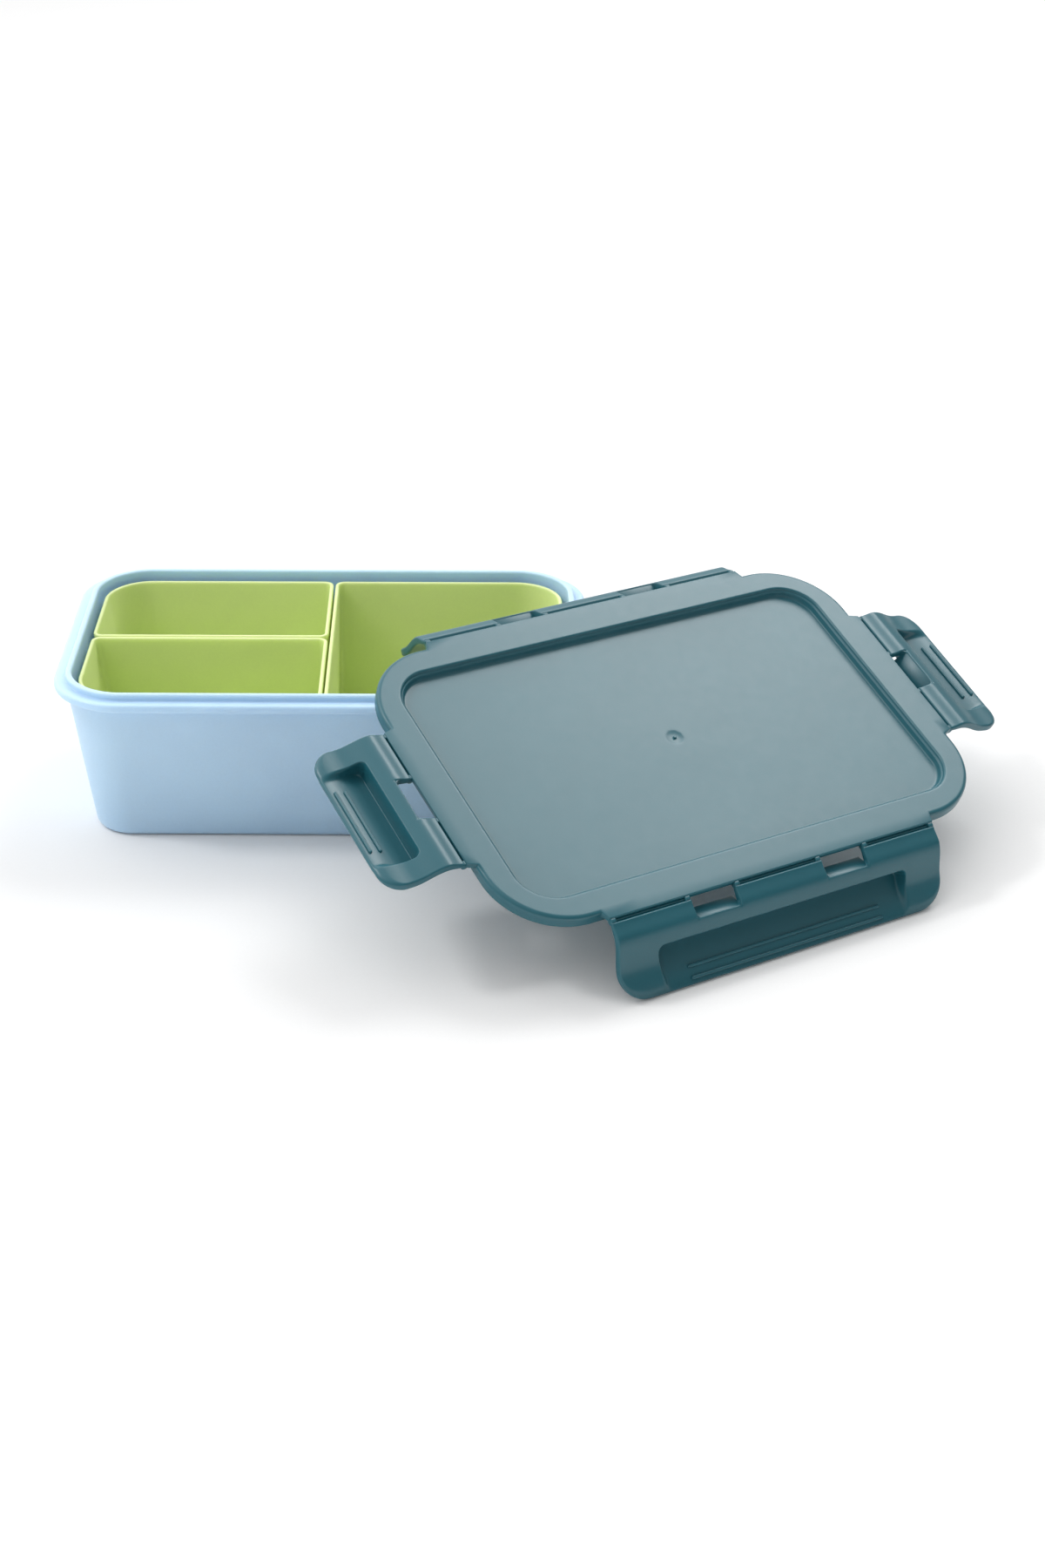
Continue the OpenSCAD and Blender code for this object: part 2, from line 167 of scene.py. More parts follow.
def moulded_plastic(name, hex_colour, roughness, grain_depth, glow):
    """A pigmented plastic or rubber with a satin grain and a drift of colour and gloss."""
    material = bpy.data.materials.new(name)
    material.use_nodes = True
    tree = material.node_tree
    tree.nodes.clear()
    pigment = linear(hex_colour)
    here = add_node(tree, "ShaderNodeTexCoord", {}, {}).outputs["Object"]
    melt_drift = add_node(tree, "ShaderNodeTexNoise", {}, {
        "Vector": here, "Scale": 1 / (melt_drift_size * MM), "Detail": 3.0, "Distortion": 0.6})
    speckle = add_node(tree, "ShaderNodeTexNoise", {}, {
        "Vector": here, "Scale": 1 / (speckle_size * MM), "Detail": 2.0})
    both = add_node(tree, "ShaderNodeMath", {"operation": "MULTIPLY_ADD"}, {
        0: speckle.outputs["Fac"], 1: 0.3, 2: melt_drift.outputs["Fac"]})
    drift = add_node(tree, "ShaderNodeMapRange", {}, {
        "Value": both.outputs[0], "From Min": 0.45, "From Max": 0.85})
    colour = add_node(tree, "ShaderNodeMix", {"data_type": "RGBA"}, {
        0: drift.outputs[0], 6: scaled(pigment, 0.96), 7: scaled(pigment, 1.04)})
    gloss_patches = add_node(tree, "ShaderNodeTexNoise", {}, {
        "Vector": here, "Scale": 1 / (gloss_patch_size * MM), "Detail": 4.0, "Roughness": 0.6})
    satin = add_node(tree, "ShaderNodeMapRange", {}, {
        "Value": gloss_patches.outputs["Fac"], "From Min": 0.3, "From Max": 0.7,
        "To Min": roughness - gloss_drift, "To Max": roughness + gloss_drift})
    grain = add_node(tree, "ShaderNodeTexNoise", {}, {
        "Vector": here, "Scale": 1 / (grain_size * MM), "Detail": 2.0, "Roughness": 0.6})
    skin = add_node(tree, "ShaderNodeBump", {}, {
        "Height": grain.outputs["Fac"], "Strength": 1.0, "Distance": grain_depth * MM})
    surface = add_node(tree, "ShaderNodeBsdfPrincipled", {"subsurface_method": "RANDOM_WALK"}, {
        "Base Color": colour.outputs[2], "Roughness": satin.outputs[0], "IOR": 1.49,
        "Normal": skin.outputs["Normal"], "Subsurface Weight": glow,
        "Subsurface Radius": (1.0, 1.0, 1.0), "Subsurface Scale": glow_reach * MM})
    add_node(tree, "ShaderNodeOutputMaterial", {}, {"Surface": surface.outputs[0]})
    return material


# Little pigment: light soaks into the wall, so its shading is milky and soft.
tub_plastic = moulded_plastic("pale blue polypropylene", "#B9D6EF", 0.38, 0.010, 0.60)
tray_plastic = moulded_plastic("lime green polypropylene", "#D6E69C", 0.40, 0.010, 0.60)
# Dense dark pigment: hardly any light gets in, and the satin sheen does the work.
lid_plastic = moulded_plastic("teal polypropylene", "#1E5B67", 0.33, 0.008, 0.06)
# Silicone from a duller mould: soft, cloudy and almost without shine.
gasket_silicone = moulded_plastic("grey silicone rubber", "#B9BDBC", 0.58, 0.008, 0.45)
print("materials:", ", ".join(m.name for m in bpy.data.materials if m.use_nodes))

# %% [markdown]
# ## Making meshes
#
# Nearly every surface here is a loft: a stack of closed outlines with the
# same number of points, joined by rows of four-sided faces. A bend is a
# stack of outlines close together, so edges are truly round and catch
# light along their whole length. Beside each bend sits one more outline,
# a guard, which stops smooth shading from bleeding into the flat next to it.

# %% Mesh helpers
sharp_bend = math.radians(50)


def finish_piece(name, mesh, material):
    """Names a mesh, gives it its material and smooth faces, and shows it."""
    mesh.name = name
    mesh.materials.clear()
    mesh.materials.append(material)
    for face in mesh.polygons:
        face.use_smooth = True
    mesh.set_sharp_from_angle(angle=sharp_bend)
    mesh.update()
    piece = bpy.data.objects.new(name, mesh)
    bpy.context.scene.collection.objects.link(piece)
    return piece


def loft(name, rings):
    """Joins closed rings of points, and closes the first and last with a face."""
    count = len(rings[0])
    points = [tuple(value * MM for value in point) for ring in rings for point in ring]
    faces = [tuple(reversed(range(count)))]
    for row in range(len(rings) - 1):
        low = row * count
        high = low + count
        for i in range(count):
            j = (i + 1) % count
            faces.append((low + i, low + j, high + j, high + i))
    faces.append(tuple(range(len(points) - count, len(points))))
    mesh = bpy.data.meshes.new(name)
    mesh.from_pydata(points, [], faces)
    mesh.update()
    return mesh


def arc(centre, radius, start, end, steps):
    """Points on an arc in a section, from start to end in degrees."""
    angles = [math.radians(start + (end - start) * i / steps) for i in range(steps + 1)]
    return [(centre[0] + radius * math.cos(a), centre[1] + radius * math.sin(a)) for a in angles]


print("first point of a unit arc:", arc((0, 0), 1, 0, 90, 1)[0])

# %% [markdown]
# ## The tub
#
# The tub is one moulding: a floor, a wall that leans out so the part can
# leave its mould, a thick flange for the latches to catch, and a thin
# upright lip that meets the gasket. All of it follows the same rounded
# rectangle, so one section swept around that outline makes the whole
# part. Geometry Nodes do the sweep, and the sizes stay open as inputs.

# %% Helpers for Geometry Nodes
def new_tree(name, inputs):
    """Starts a tree and opens its named inputs and its one output."""
    tree = bpy.data.node_groups.new(name, "GeometryNodeTree")
    tree.interface.new_socket("Geometry", in_out="OUTPUT", socket_type="NodeSocketGeometry")
    for label, kind in inputs.items():
        tree.interface.new_socket(label, in_out="INPUT", socket_type="NodeSocket" + kind)
    return tree, add_node(tree, "NodeGroupInput", {}, {}).outputs


def close_tree(tree, geometry, material):
    """Ends a tree: makes its instances real and gives the faces their material."""
    real = add_node(tree, "GeometryNodeRealizeInstances", {}, {"Geometry": geometry})
    coated = add_node(tree, "GeometryNodeSetMaterial", {}, {
        "Geometry": real.outputs[0], "Material": material})
    add_node(tree, "NodeGroupOutput", {}, {"Geometry": coated.outputs[0]})
    print("tree:", tree.name, "with", len(tree.nodes), "nodes")


def grow(name, tree, values):
    """Runs a tree with its inputs filled, and keeps a plain mesh."""
    holder = bpy.data.objects.new(name, bpy.data.meshes.new(name))
    bpy.context.scene.collection.objects.link(holder)
    modifier = holder.modifiers.new("grow", "NODES")
    modifier.node_group = tree
    for item in tree.interface.items_tree:
        if item.in_out == "INPUT":
            modifier[item.identifier] = values[item.name]
    depsgraph = bpy.context.evaluated_depsgraph_get()
    mesh = bpy.data.meshes.new_from_object(holder.evaluated_get(depsgraph), depsgraph=depsgraph)
    holder.modifiers.remove(modifier)
    bpy.data.objects.remove(holder)
    return mesh


# %% A tree that sweeps a section around a rounded rectangle
sweep_tree, given = new_tree("section swept around a rounded rectangle", {
    "Length": "Float", "Width": "Float", "Corner Radius": "Float", "Corner Steps": "Int",
    "Section": "Object", "Material": "Material"})
path = add_node(sweep_tree, "GeometryNodeCurvePrimitiveQuadrilateral", {"mode": "RECTANGLE"}, {
    "Width": given["Length"], "Height": given["Width"]})
rounded_path = add_node(sweep_tree, "GeometryNodeFilletCurve", {"mode": "POLY"}, {
    "Curve": path.outputs[0], "Count": given["Corner Steps"], "Radius": given["Corner Radius"]})
level_path = add_node(sweep_tree, "GeometryNodeSetCurveNormal", {"mode": "Z_UP"}, {
    "Curve": rounded_path.outputs[0]})
section = add_node(sweep_tree, "GeometryNodeObjectInfo", {}, {"Object": given["Section"]})
swept = add_node(sweep_tree, "GeometryNodeCurveToMesh", {}, {
    "Curve": level_path.outputs[0], "Profile Curve": section.outputs["Geometry"]})
close_tree(sweep_tree, swept.outputs[0], given["Material"])


def sweep_section(name, points, closed, length, width, radius, steps, material):
    """Sweeps a section of (inset, height) points around a rounded rectangle."""
    data = bpy.data.curves.new(name + " section", "CURVE")
    data.dimensions = "3D"
    spline = data.splines.new("POLY")
    spline.points.add(len(points) - 1)
    for spot, (inset, height) in zip(spline.points, points):
        spot.co = (inset * MM, -height * MM, 0, 1)
    spline.use_cyclic_u = closed
    holder = bpy.data.objects.new(name + " section", data)
    bpy.context.scene.collection.objects.link(holder)
    mesh = grow(name, sweep_tree, {
        "Length": length * MM, "Width": width * MM, "Corner Radius": radius * MM,
        "Corner Steps": steps, "Section": holder, "Material": material})
    bpy.data.objects.remove(holder)
    return mesh


def close_floors(mesh):
    """Fills the open loops of a sweep with flat faces and points every face outwards."""
    work = bmesh.new()
    work.from_mesh(mesh)
    bmesh.ops.remove_doubles(work, verts=work.verts, dist=0.001 * MM)
    bmesh.ops.holes_fill(work, edges=[e for e in work.edges if e.is_boundary], sides=0)
    bmesh.ops.recalc_face_normals(work, faces=work.faces)
    open_edges = sum(1 for e in work.edges if not e.is_manifold)
    work.to_mesh(mesh)
    work.free()
    return open_edges


# %% The tub's sizes
box_length = 220.0
box_width = 140.0
corner_radius = 30.0
flange_bottom = 62.7
flange_top = 66.3
box_height = 69.0
flange_reach = 4.8
lip_inset = 7.4
base_inset = 13.8
tub_wall = 2.2
tub_floor = 2.6
base_round = 3.0
foot_width = 5.0
foot_height = 0.7
foot_round = 0.3
ledge_round = 0.7
flange_round = 1.3
step_round = 0.6
lip_round = 0.9
tub_corner_steps = 30
outer_slope = (base_inset - flange_reach) / flange_bottom
inner_slope = (base_inset + tub_wall - lip_inset) / flange_bottom
outer_lean = math.degrees(math.atan(outer_slope))
inner_lean = math.degrees(math.atan(inner_slope))
print("the tub's walls lean", round(outer_lean, 1), "and", round(inner_lean, 1), "degrees")


# %% The tub's section and sweep
def leaning_foot(inset, slope, pivot, bottom):
    """Centre of the round between a floor and a wall that leans outwards."""
    fall = slope * (pivot - bottom - base_round)
    return (-inset - fall - base_round / math.cos(math.atan(slope)), bottom + base_round)


outer_foot = leaning_foot(flange_reach, outer_slope, flange_bottom, 0)
inner_foot = leaning_foot(lip_inset, inner_slope, flange_bottom, tub_floor)
foot_edge = outer_foot[0] - foot_width
lip_outside = -flange_reach
lip_inside = -lip_inset
# Underneath, the sunken middle and the foot ring.
tub_section = [(foot_edge - 2.5, foot_height), (foot_edge - 1.2, foot_height)]
tub_section += arc((foot_edge - 0.7, foot_height - foot_round), foot_round, 90, 30, 3)
tub_section += arc((foot_edge + foot_round, foot_round), foot_round, 210, 270, 3)
tub_section += [(foot_edge + 1.0, 0), (outer_foot[0] - 0.5, 0)]
# Up the outside to the flange.
tub_section += arc(outer_foot, base_round, -90, -outer_lean, 10)
tub_section += [(lip_outside - outer_slope * (flange_bottom - z), z) for z in (8, 25, 45, 58, 61)]
tub_section += arc((lip_outside + 0.75, flange_bottom - ledge_round), ledge_round, 180 - outer_lean, 90, 5)
tub_section += [(-3.6, flange_bottom), (-1.9, flange_bottom)]
tub_section += arc((-flange_round, flange_bottom + flange_round), flange_round, -90, -4, 7)
tub_section += arc((-flange_round, flange_top - flange_round), flange_round, 4, 90, 7)
tub_section += [(-1.8, flange_top), (-3.8, flange_top)]
# Over the lip.
tub_section += arc((lip_outside + step_round, flange_top + step_round), step_round, 270, 180, 5)
tub_section += [(lip_outside, 67.2), (lip_outside, 67.9)]
tub_section += arc((lip_outside - lip_round, box_height - lip_round), lip_round, 4, 90, 7)
tub_section += arc((lip_inside + lip_round, box_height - lip_round), lip_round, 94, 180, 7)
tub_section += [(lip_inside, z) for z in (67.6, 65.5, 63.4)]
# Down the inside to the floor.
tub_section += [(lip_inside - inner_slope * (flange_bottom - z), z) for z in (62.0, 45, 25, 10)]
tub_section += arc(inner_foot, base_round, -inner_lean, -90, 10)
tub_section += [(inner_foot[0] - 0.6, tub_floor), (inner_foot[0] - 3, tub_floor)]
tub_mesh = sweep_section("tub", tub_section, False, box_length, box_width, corner_radius,
                         tub_corner_steps, tub_plastic)
open_tub_edges = close_floors(tub_mesh)
tub = finish_piece("tub_moulding", tub_mesh, tub_plastic)
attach(tub, "tub")
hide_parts("tub")
print("tub faces:", len(tub_mesh.polygons), "open edges:", open_tub_edges)

# %% [markdown]
# ## The trays
#
# Each tray is a thin, deep shell of plastic: a floor, four walls and a rim
# with both edges rounded. Walls that follow the tub lean with it, which
# lets the tray slip out of its mould and nest; walls that meet a
# neighbour stand upright. Its plan has large corners where it follows the
# tub's corners and small ones elsewhere. The loft starts under the floor,
# climbs the outside, rolls over the rim and goes down the inside.

# %% Outlines of a tray
tray_top = 65.1
tray_bottom = 2.9
tray_inset = 9.8
tray_split = 0.9
tray_wall = 1.6
tray_floor = 1.6
tray_corner = 4.0
tray_round = 3.0
rim_round = 0.7
tray_steps = 22
smallest_radius = 0.35
tub_sides = (-box_length / 2, box_length / 2, -box_width / 2, box_width / 2)


def corner_points(centre_x, centre_y, radius, start, steps):
    """A quarter turn of points around one corner of an outline."""
    return arc((centre_x, centre_y), radius, start, start + 90, steps)


def tray_ring(sides, margin, height):
    """One outline of a tray: margin is how far inside the outer face it runs."""
    fall = inner_slope * (tray_top - height)
    west, east, south, north = [inset + margin + (fall if leans else 0) for inset, leans in sides]
    x0 = tub_sides[0] + west
    x1 = tub_sides[1] - east
    y0 = tub_sides[2] + south
    y1 = tub_sides[3] - north
    west_leans, east_leans, south_leans, north_leans = [leans for inset, leans in sides]
    turns = [(x1, y1, 0, east_leans and north_leans), (x0, y1, 90, west_leans and north_leans),
             (x0, y0, 180, west_leans and south_leans), (x1, y0, 270, east_leans and south_leans)]
    ring = []
    for x, y, start, large in turns:
        wanted = corner_radius - tray_inset - margin - fall if large else tray_corner - margin
        radius = max(wanted, smallest_radius)
        inward_x = -1 if start in (0, 270) else 1
        inward_y = -1 if start in (0, 90) else 1
        ring += corner_points(x + inward_x * radius, y + inward_y * radius, radius, start, tray_steps)
    return [(x, y, height) for x, y in ring]


print("a tray's corner beside the tub:", round(corner_radius - tray_inset, 1), "mm in radius")

# %% The trays' section, and three lofts
outer_side = (tray_inset, True)
middle_along = (box_length / 2 + tray_split / 2, False)
middle_across = (box_width / 2 + tray_split / 2, False)
tray_sides = {
    "tray_back_left": (outer_side, middle_along, middle_across, outer_side),
    "tray_front_left": (outer_side, middle_along, outer_side, middle_across),
    "tray_right": (middle_along, outer_side, outer_side, outer_side),
}
inner_bottom = tray_bottom + tray_floor
rim_centre = (0, tray_top - rim_round)
inner_foot_inset = tray_wall + tray_round
tray_section = [(tray_round + 1.2, tray_bottom), (tray_round + 0.5, tray_bottom)]
tray_section += [(tray_round - x, z)
                 for x, z in arc((0, tray_bottom + tray_round), tray_round, 270, 360, 8)]
tray_section += [(0, z) for z in (8, 20, 40, 56, 63.6)]
tray_section += [(rim_round - x, z) for x, z in arc(rim_centre, rim_round, 6, 90, 6)]
tray_section += [(tray_wall - rim_round - x, z) for x, z in arc(rim_centre, rim_round, 90, 174, 6)]
tray_section += [(tray_wall, z) for z in (63.6, 56, 40, 20, 9)]
tray_section += [(inner_foot_inset + x, z)
                 for x, z in arc((0, inner_bottom + tray_round), tray_round, 180, 270, 8)]
tray_section += [(inner_foot_inset + 0.5, inner_bottom), (inner_foot_inset + 2.2, inner_bottom)]
for node_name, sides in tray_sides.items():
    rings = [tray_ring(sides, margin, height) for margin, height in tray_section]
    tray = finish_piece(f"{node_name}_moulding", loft(node_name, rings), tray_plastic)
    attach(tray, node_name)
    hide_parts(node_name)
    print(node_name, "faces:", len(tray.data.polygons))

# %% [markdown]
# ## Where the lid leans
#
# The lid is drawn flat, with the top of its border at height zero, and is
# then laid where the frame says. Its hinge axes give its two directions:
# the back hinge runs along its length and the left hinge across it.
# Halfway between the left and right hinges lies its middle.

# %% Find the lid's place from its hinges
hinges = {joint["name"]: joint for joint in frame["joints"] if joint["type"] == "hinge"}
hinge_drop = 1.9


def hinge_point(name):
    """A hinge's point in millimetres."""
    return Vector(hinges[name]["pos_m"]) / MM


def hinge_axis(name):
    """A hinge's direction."""
    return Vector(hinges[name]["axis"]).normalized()


def placement(along, across, upward, origin):
    """A matrix that takes a piece drawn flat to its place, in metres."""
    turn = Matrix((along, across, upward)).transposed().to_4x4()
    return Matrix.Translation(origin * MM) @ turn


lid_x = hinge_axis("latch_back_hinge")
lid_y = hinge_axis("latch_left_hinge")
lid_z = lid_x.cross(lid_y).normalized()
hinge_middle = (hinge_point("latch_left_hinge") + hinge_point("latch_right_hinge")) / 2
lid_place = placement(lid_x, lid_y, lid_z, hinge_middle + lid_z * hinge_drop)
print("lid middle:", [round(v / MM, 1) for v in lid_place.translation])

# %% [markdown]
# ## The lid
#
# The lid is one more loft, from a small dimple in its middle, where the
# plastic was injected, out over the sunken panel, up the recess wall with
# its rolled edge, across the flat border, over the outer round and down
# the skirt, and back underneath. On each side a strip reaches out to
# carry the hinge. It is made in the same loft: every outline carries a
# second place for points in front of a latch, and a share from 0 to 1
# says how much of the strip each point has.

# %% Lid sizes and outlines
lid_length = 221.0
lid_width = 141.0
lid_radius = 30.5
border_width = 11.5
panel_radius = 15.0
panel_depth = 3.8
panel_draft = 1.2
panel_sag = 0.15
panel_under = -5.2
skirt_height = 5.2
edge_round = 1.6
roof = -1.8
tab_reach = 3.25
tab_under = -2.2
tab_round = 0.5
latch_widths = {"front": 150.0, "back": 150.0, "left": 68.0, "right": 68.0}
flare = 1.5
flare_shares = (0, 0.12, 0.35, 0.65, 0.9, 1)
corner_steps = 24
round_steps = 6
smallest_turn = 0.3
panel_corner = panel_radius + border_width
panel_edge = border_width + panel_draft


def side_stops(half_latch):
    """Places along one side, each with its share of the hinge strip."""
    rising = [(-half_latch - flare + flare * share, share) for share in flare_shares]
    middle = [(half_latch * k / 5, 1) for k in range(-4, 5)]
    falling = [(-t, share) for t, share in reversed(rising)]
    return rising + middle + falling


long_stops = side_stops(latch_widths["back"] / 2)
short_stops = side_stops(latch_widths["left"] / 2)


def lid_ring(plain, strip, corner_offset):
    """One outline: plain and strip are (inset, height); corner radius is corner_offset - inset."""
    inset, height = plain
    radius = max(corner_offset - inset, smallest_turn)
    half_x = lid_length / 2 - inset
    half_y = lid_width / 2 - inset
    ring = []
    sides = [(half_x, half_y, short_stops), (half_y, half_x, long_stops)] * 2
    for side, (reach, half, stops) in enumerate(sides):
        points = []
        for t, share in stops:
            out = reach - (strip[0] - inset) * share
            points.append((out, t, height + (strip[1] - height) * share))
        for x, y in corner_points(reach - radius, half - radius, radius, 0, corner_steps):
            points.append((x, y, height))
        for out, t, z in points:
            ring.append([(out, t, z), (-t, out, z), (-out, -t, z), (t, -out, z)][side])
    return ring


def same(inset, height, corner):
    """An outline that is alike everywhere."""
    return lid_ring((inset, height), (inset, height), corner)


print("points in one outline of the lid:", len(same(0, 0, lid_radius)))

# %% The gate mark and the sunken panel
# The gate is where the plastic came in: a tiny broken stub in a dimple.
panel_outline = same(panel_edge + 1.2, -panel_depth, panel_corner)
gate_section = [(0.35, -3.45), (0.5, -3.47), (0.62, -3.6), (0.66, -4.05), (0.85, -4.14),
                (1.1, -4.15), (1.7, -4.12), (2.3, -4.06), (2.9, -3.97), (3.4, -3.88),
                (3.8, -3.82), (4.3, -panel_depth), (5.0, -panel_depth)]
lid_rings = []
for radius, height in gate_section:
    ring = []
    for x, y, z in panel_outline:
        size = math.hypot(x, y)
        ring.append((radius * x / size, radius * y / size, height))
    lid_rings.append(ring)
gate_edge = lid_rings[-1]
for share in (0.15, 0.3, 0.45, 0.6, 0.75, 0.88):
    sag = panel_sag * math.sin(math.pi * share)
    lid_rings.append([(a[0] + (b[0] - a[0]) * share, a[1] + (b[1] - a[1]) * share, -panel_depth - sag)
                      for a, b in zip(gate_edge, panel_outline)])
print("outlines so far:", len(lid_rings))

# %% The recess wall, the border and its outer round
recess_foot = [(panel_edge + 1.2, -panel_depth), (panel_edge + 0.6, -panel_depth),
               (panel_edge + 0.25, -3.75), (panel_edge + 0.02, -3.58), (panel_edge - 0.12, -3.3)]
recess_step = [(12.2, -2.1), (12.15, -1.85), (12.05, -1.6), (11.88, -1.42), (11.65, -1.33), (11.5, -1.3)]
rolled_edge = [(11.4, -1.22), (11.34, -1.05), (11.27, -0.78), (11.13, -0.46), (10.9, -0.19),
               (10.6, -0.04), (10.3, 0), (9.8, 0)]
lid_rings += [same(inset, height, panel_corner) for inset, height in recess_foot + recess_step + rolled_edge]
lid_rings += [same(inset, 0, lid_radius) for inset in (2.6, 2.0)]
for step in range(round_steps + 1):
    angle = math.radians(90 * step / round_steps)
    plain = (edge_round - edge_round * math.sin(angle), -edge_round + edge_round * math.cos(angle))
    strip = (-tab_reach + tab_round - tab_round * math.sin(angle), -tab_round + tab_round * math.cos(angle))
    lid_rings.append(lid_ring(plain, strip, lid_radius))
print("outlines so far:", len(lid_rings))

# %% Under the strips, the skirt, the channel and the underside
strip_under = [((0, -1.8), (-tab_reach, -1.85)), ((0, -2.0), (-tab_reach + 0.12, -2.08)),
               ((0, -2.1), (-tab_reach + 0.4, tab_under)), ((0, -2.3), (-0.7, tab_under)),
               ((0, -2.5), (-0.2, -2.35)), ((0, -2.9), (0, -2.9))]
lid_rings += [lid_ring(plain, strip, lid_radius) for plain, strip in strip_under]
skirt_outside = [(0, -4.2), (0.02, -4.7), (0.12, -5.0), (0.3, -5.15), (0.5, -skirt_height)]
skirt_inside = [(1.1, -skirt_height), (1.35, -5.15), (1.55, -4.9), (1.6, -4.5), (1.6, -2.4),
                (1.7, -2.0), (2.0, roof), (2.5, roof)]
channel_rib = [(3.3, roof), (3.6, -1.9), (3.7, -2.2), (3.7, -3.0), (3.8, -3.3), (4.0, -3.4),
               (4.3, -3.4), (4.5, -3.3), (4.6, -3.0), (4.6, -2.2), (4.65, -1.9), (4.8, roof)]
gasket_seat = [(5.2, roof), (7.8, roof)]
lid_rings += [same(inset, height, lid_radius)
              for inset, height in skirt_outside + skirt_inside + channel_rib + gasket_seat]
inner_wall = [(9.6, roof), (10.0, -1.9), (10.3, -2.3), (10.45, -2.6), (11.2, -4.7), (11.4, -5.1)]
underside = [(inset, panel_under) for inset in (11.8, 12.6, 16.0, 24.0)]
lid_rings += [same(inset, height, panel_corner) for inset, height in inner_wall + underside]
lid_mesh = loft("lid", list(reversed(lid_rings)))
lid_mesh.transform(lid_place)
lid = finish_piece("lid_moulding", lid_mesh, lid_plastic)
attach(lid, "lid")
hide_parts("lid")
print("lid faces:", len(lid_mesh.polygons), "from", len(lid_rings), "outlines")

# %% [markdown]
# ## The gasket
#
# A soft silicone ring sits in the channel under the lid and meets the
# tub's lip. It is a flat band with a round bead, swept like the tub.

# %% Sweep the gasket
gasket_inset = 6.6
gasket_half = 1.7
gasket_height = 1.1
gasket_chamfer = 0.3
bead_radius = 0.8
band_low = roof - gasket_height
band_outside = -gasket_inset - gasket_half
band_inside = -gasket_inset + gasket_half
gasket_section = [(band_outside, roof), (band_outside, band_low + gasket_chamfer),
                  (band_outside + gasket_chamfer, band_low)]
gasket_section += arc((-gasket_inset, band_low), bead_radius, 180, 360, 12)
gasket_section += [(band_inside - gasket_chamfer, band_low), (band_inside, band_low + gasket_chamfer),
                   (band_inside, roof)]
gasket_mesh = sweep_section("gasket", gasket_section, True, lid_length, lid_width, lid_radius,
                            corner_steps, gasket_silicone)
open_gasket_edges = close_floors(gasket_mesh)
gasket_mesh.transform(lid_place)
gasket = finish_piece("gasket_ring", gasket_mesh, gasket_silicone)
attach(gasket, "lid")
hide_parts("lid_gasket")
print("gasket faces:", len(gasket_mesh.polygons), "open edges:", open_gasket_edges)

# %% [markdown]
# ## The latches
#
# A latch is a thick curved plate: a shoulder by the hinge, a waist, and a
# bulb at the tip. A finger scoop is pressed deep into its middle, with a
# steep wall on the hinge side and softer side walls that widen towards
# the tip. Windows by the hinge make it easy to bend and let the hooks
# under it leave the mould.
#
# Seen along the hinge, every spot has one top height and one bottom
# height, so the plate is a pair of height fields on a shared grid. Here u
# is the distance from the hinge and x runs along it.

# %% Sections of a latch
latch_length = 32.0
hinge_gap_half = 0.35
shoulder_place = 7.0
waist_place = 21.0
bulb_place = 28.0
hinge_rise = 1.9
shoulder_rise = 3.9
waist_rise = 1.0
bulb_rise = 1.3
hinge_thickness = 2.2
shoulder_thickness = 3.2
under_shoulder = 0.7
under_waist = -2.4
scoop_start = 13.0
scoop_foot = 14.5
scoop_climb = 17.5
scoop_deepest = -4.6
scoop_highest = 0.3


def ease(low, high, share):
    """Goes from low to high with a gentle start and finish."""
    bounded = np.clip(share, 0, 1)
    return low + (high - low) * (1 - np.cos(np.pi * bounded)) / 2


def plate_top(u):
    """Outer height of the plate at distance u from the hinge."""
    to_waist = (u - shoulder_place) / (waist_place - shoulder_place)
    to_bulb = (u - waist_place) / (bulb_place - waist_place)
    near = ease(hinge_rise, shoulder_rise, u / shoulder_place)
    middle = ease(shoulder_rise, waist_rise, to_waist)
    far = ease(waist_rise, bulb_rise, to_bulb)
    return np.where(u < shoulder_place, near, np.where(u < waist_place, middle, far))


def plate_under(u):
    """Inner height of the plate."""
    to_waist = (u - shoulder_place) / (waist_place - shoulder_place)
    near = plate_top(u) - ease(hinge_thickness, shoulder_thickness, u / shoulder_place)
    return np.where(u < shoulder_place, near, ease(under_shoulder, under_waist, to_waist))


def scoop_floor(u):
    """Height of the scoop's floor."""
    return ease(scoop_deepest, scoop_highest, (u - scoop_foot) / scoop_climb)


for label, place in (("shoulder", shoulder_place), ("waist", waist_place), ("bulb", bulb_place)):
    print(label, "height:", round(float(plate_top(np.array(place))), 2))

# %% [markdown]
# ### The grid
#
# The grid lines sit close together where the shape turns fast. Near the
# tip and the windows they are pushed aside to follow the round corners, so
# a corner is a smooth row of cells and never a staircase.

# %% Grid lines
catch_distance = 7.15
window_half = 10.0
window_corner = 2.0
window_fade = 1.5
beyond_window = 2.5
plain_spacing = 1.8
narrowest_cell = 0.045
window_steps = (-2, -1.7, -1.3, -0.9, -0.5, -0.25, 0, 0.15, 0.35, 0.6, 1.0)
side_steps = (0, 0.06, 0.18, 0.35, 0.6, 0.9, 1.3)
scoop_side_steps = (-1.8, -1.2, -0.6, -0.2, 0, 0.15, 0.3, 0.45, 0.6, 0.8, 1.0, 1.3, 1.7, 2.2, 2.8,
                    3.4, 4.0, 4.7, 5.4, 6.2)
# Start, end and spacing of the lines between the hinge and the tip.
length_spans = [(0.35, 1.0, 0.16), (1.0, 4.0, 0.6), (4.0, 6.2, 0.3), (6.2, 8.0, 0.16), (8.0, 12.7, 0.5),
                (12.7, 14.9, 0.11), (14.9, 18.0, 0.45), (18.0, 28.0, 0.6), (28.0, 30.5, 0.4),
                (30.5, 31.6, 0.2), (31.6, 32.0, 0.08)]
squeeze_from = 14.9


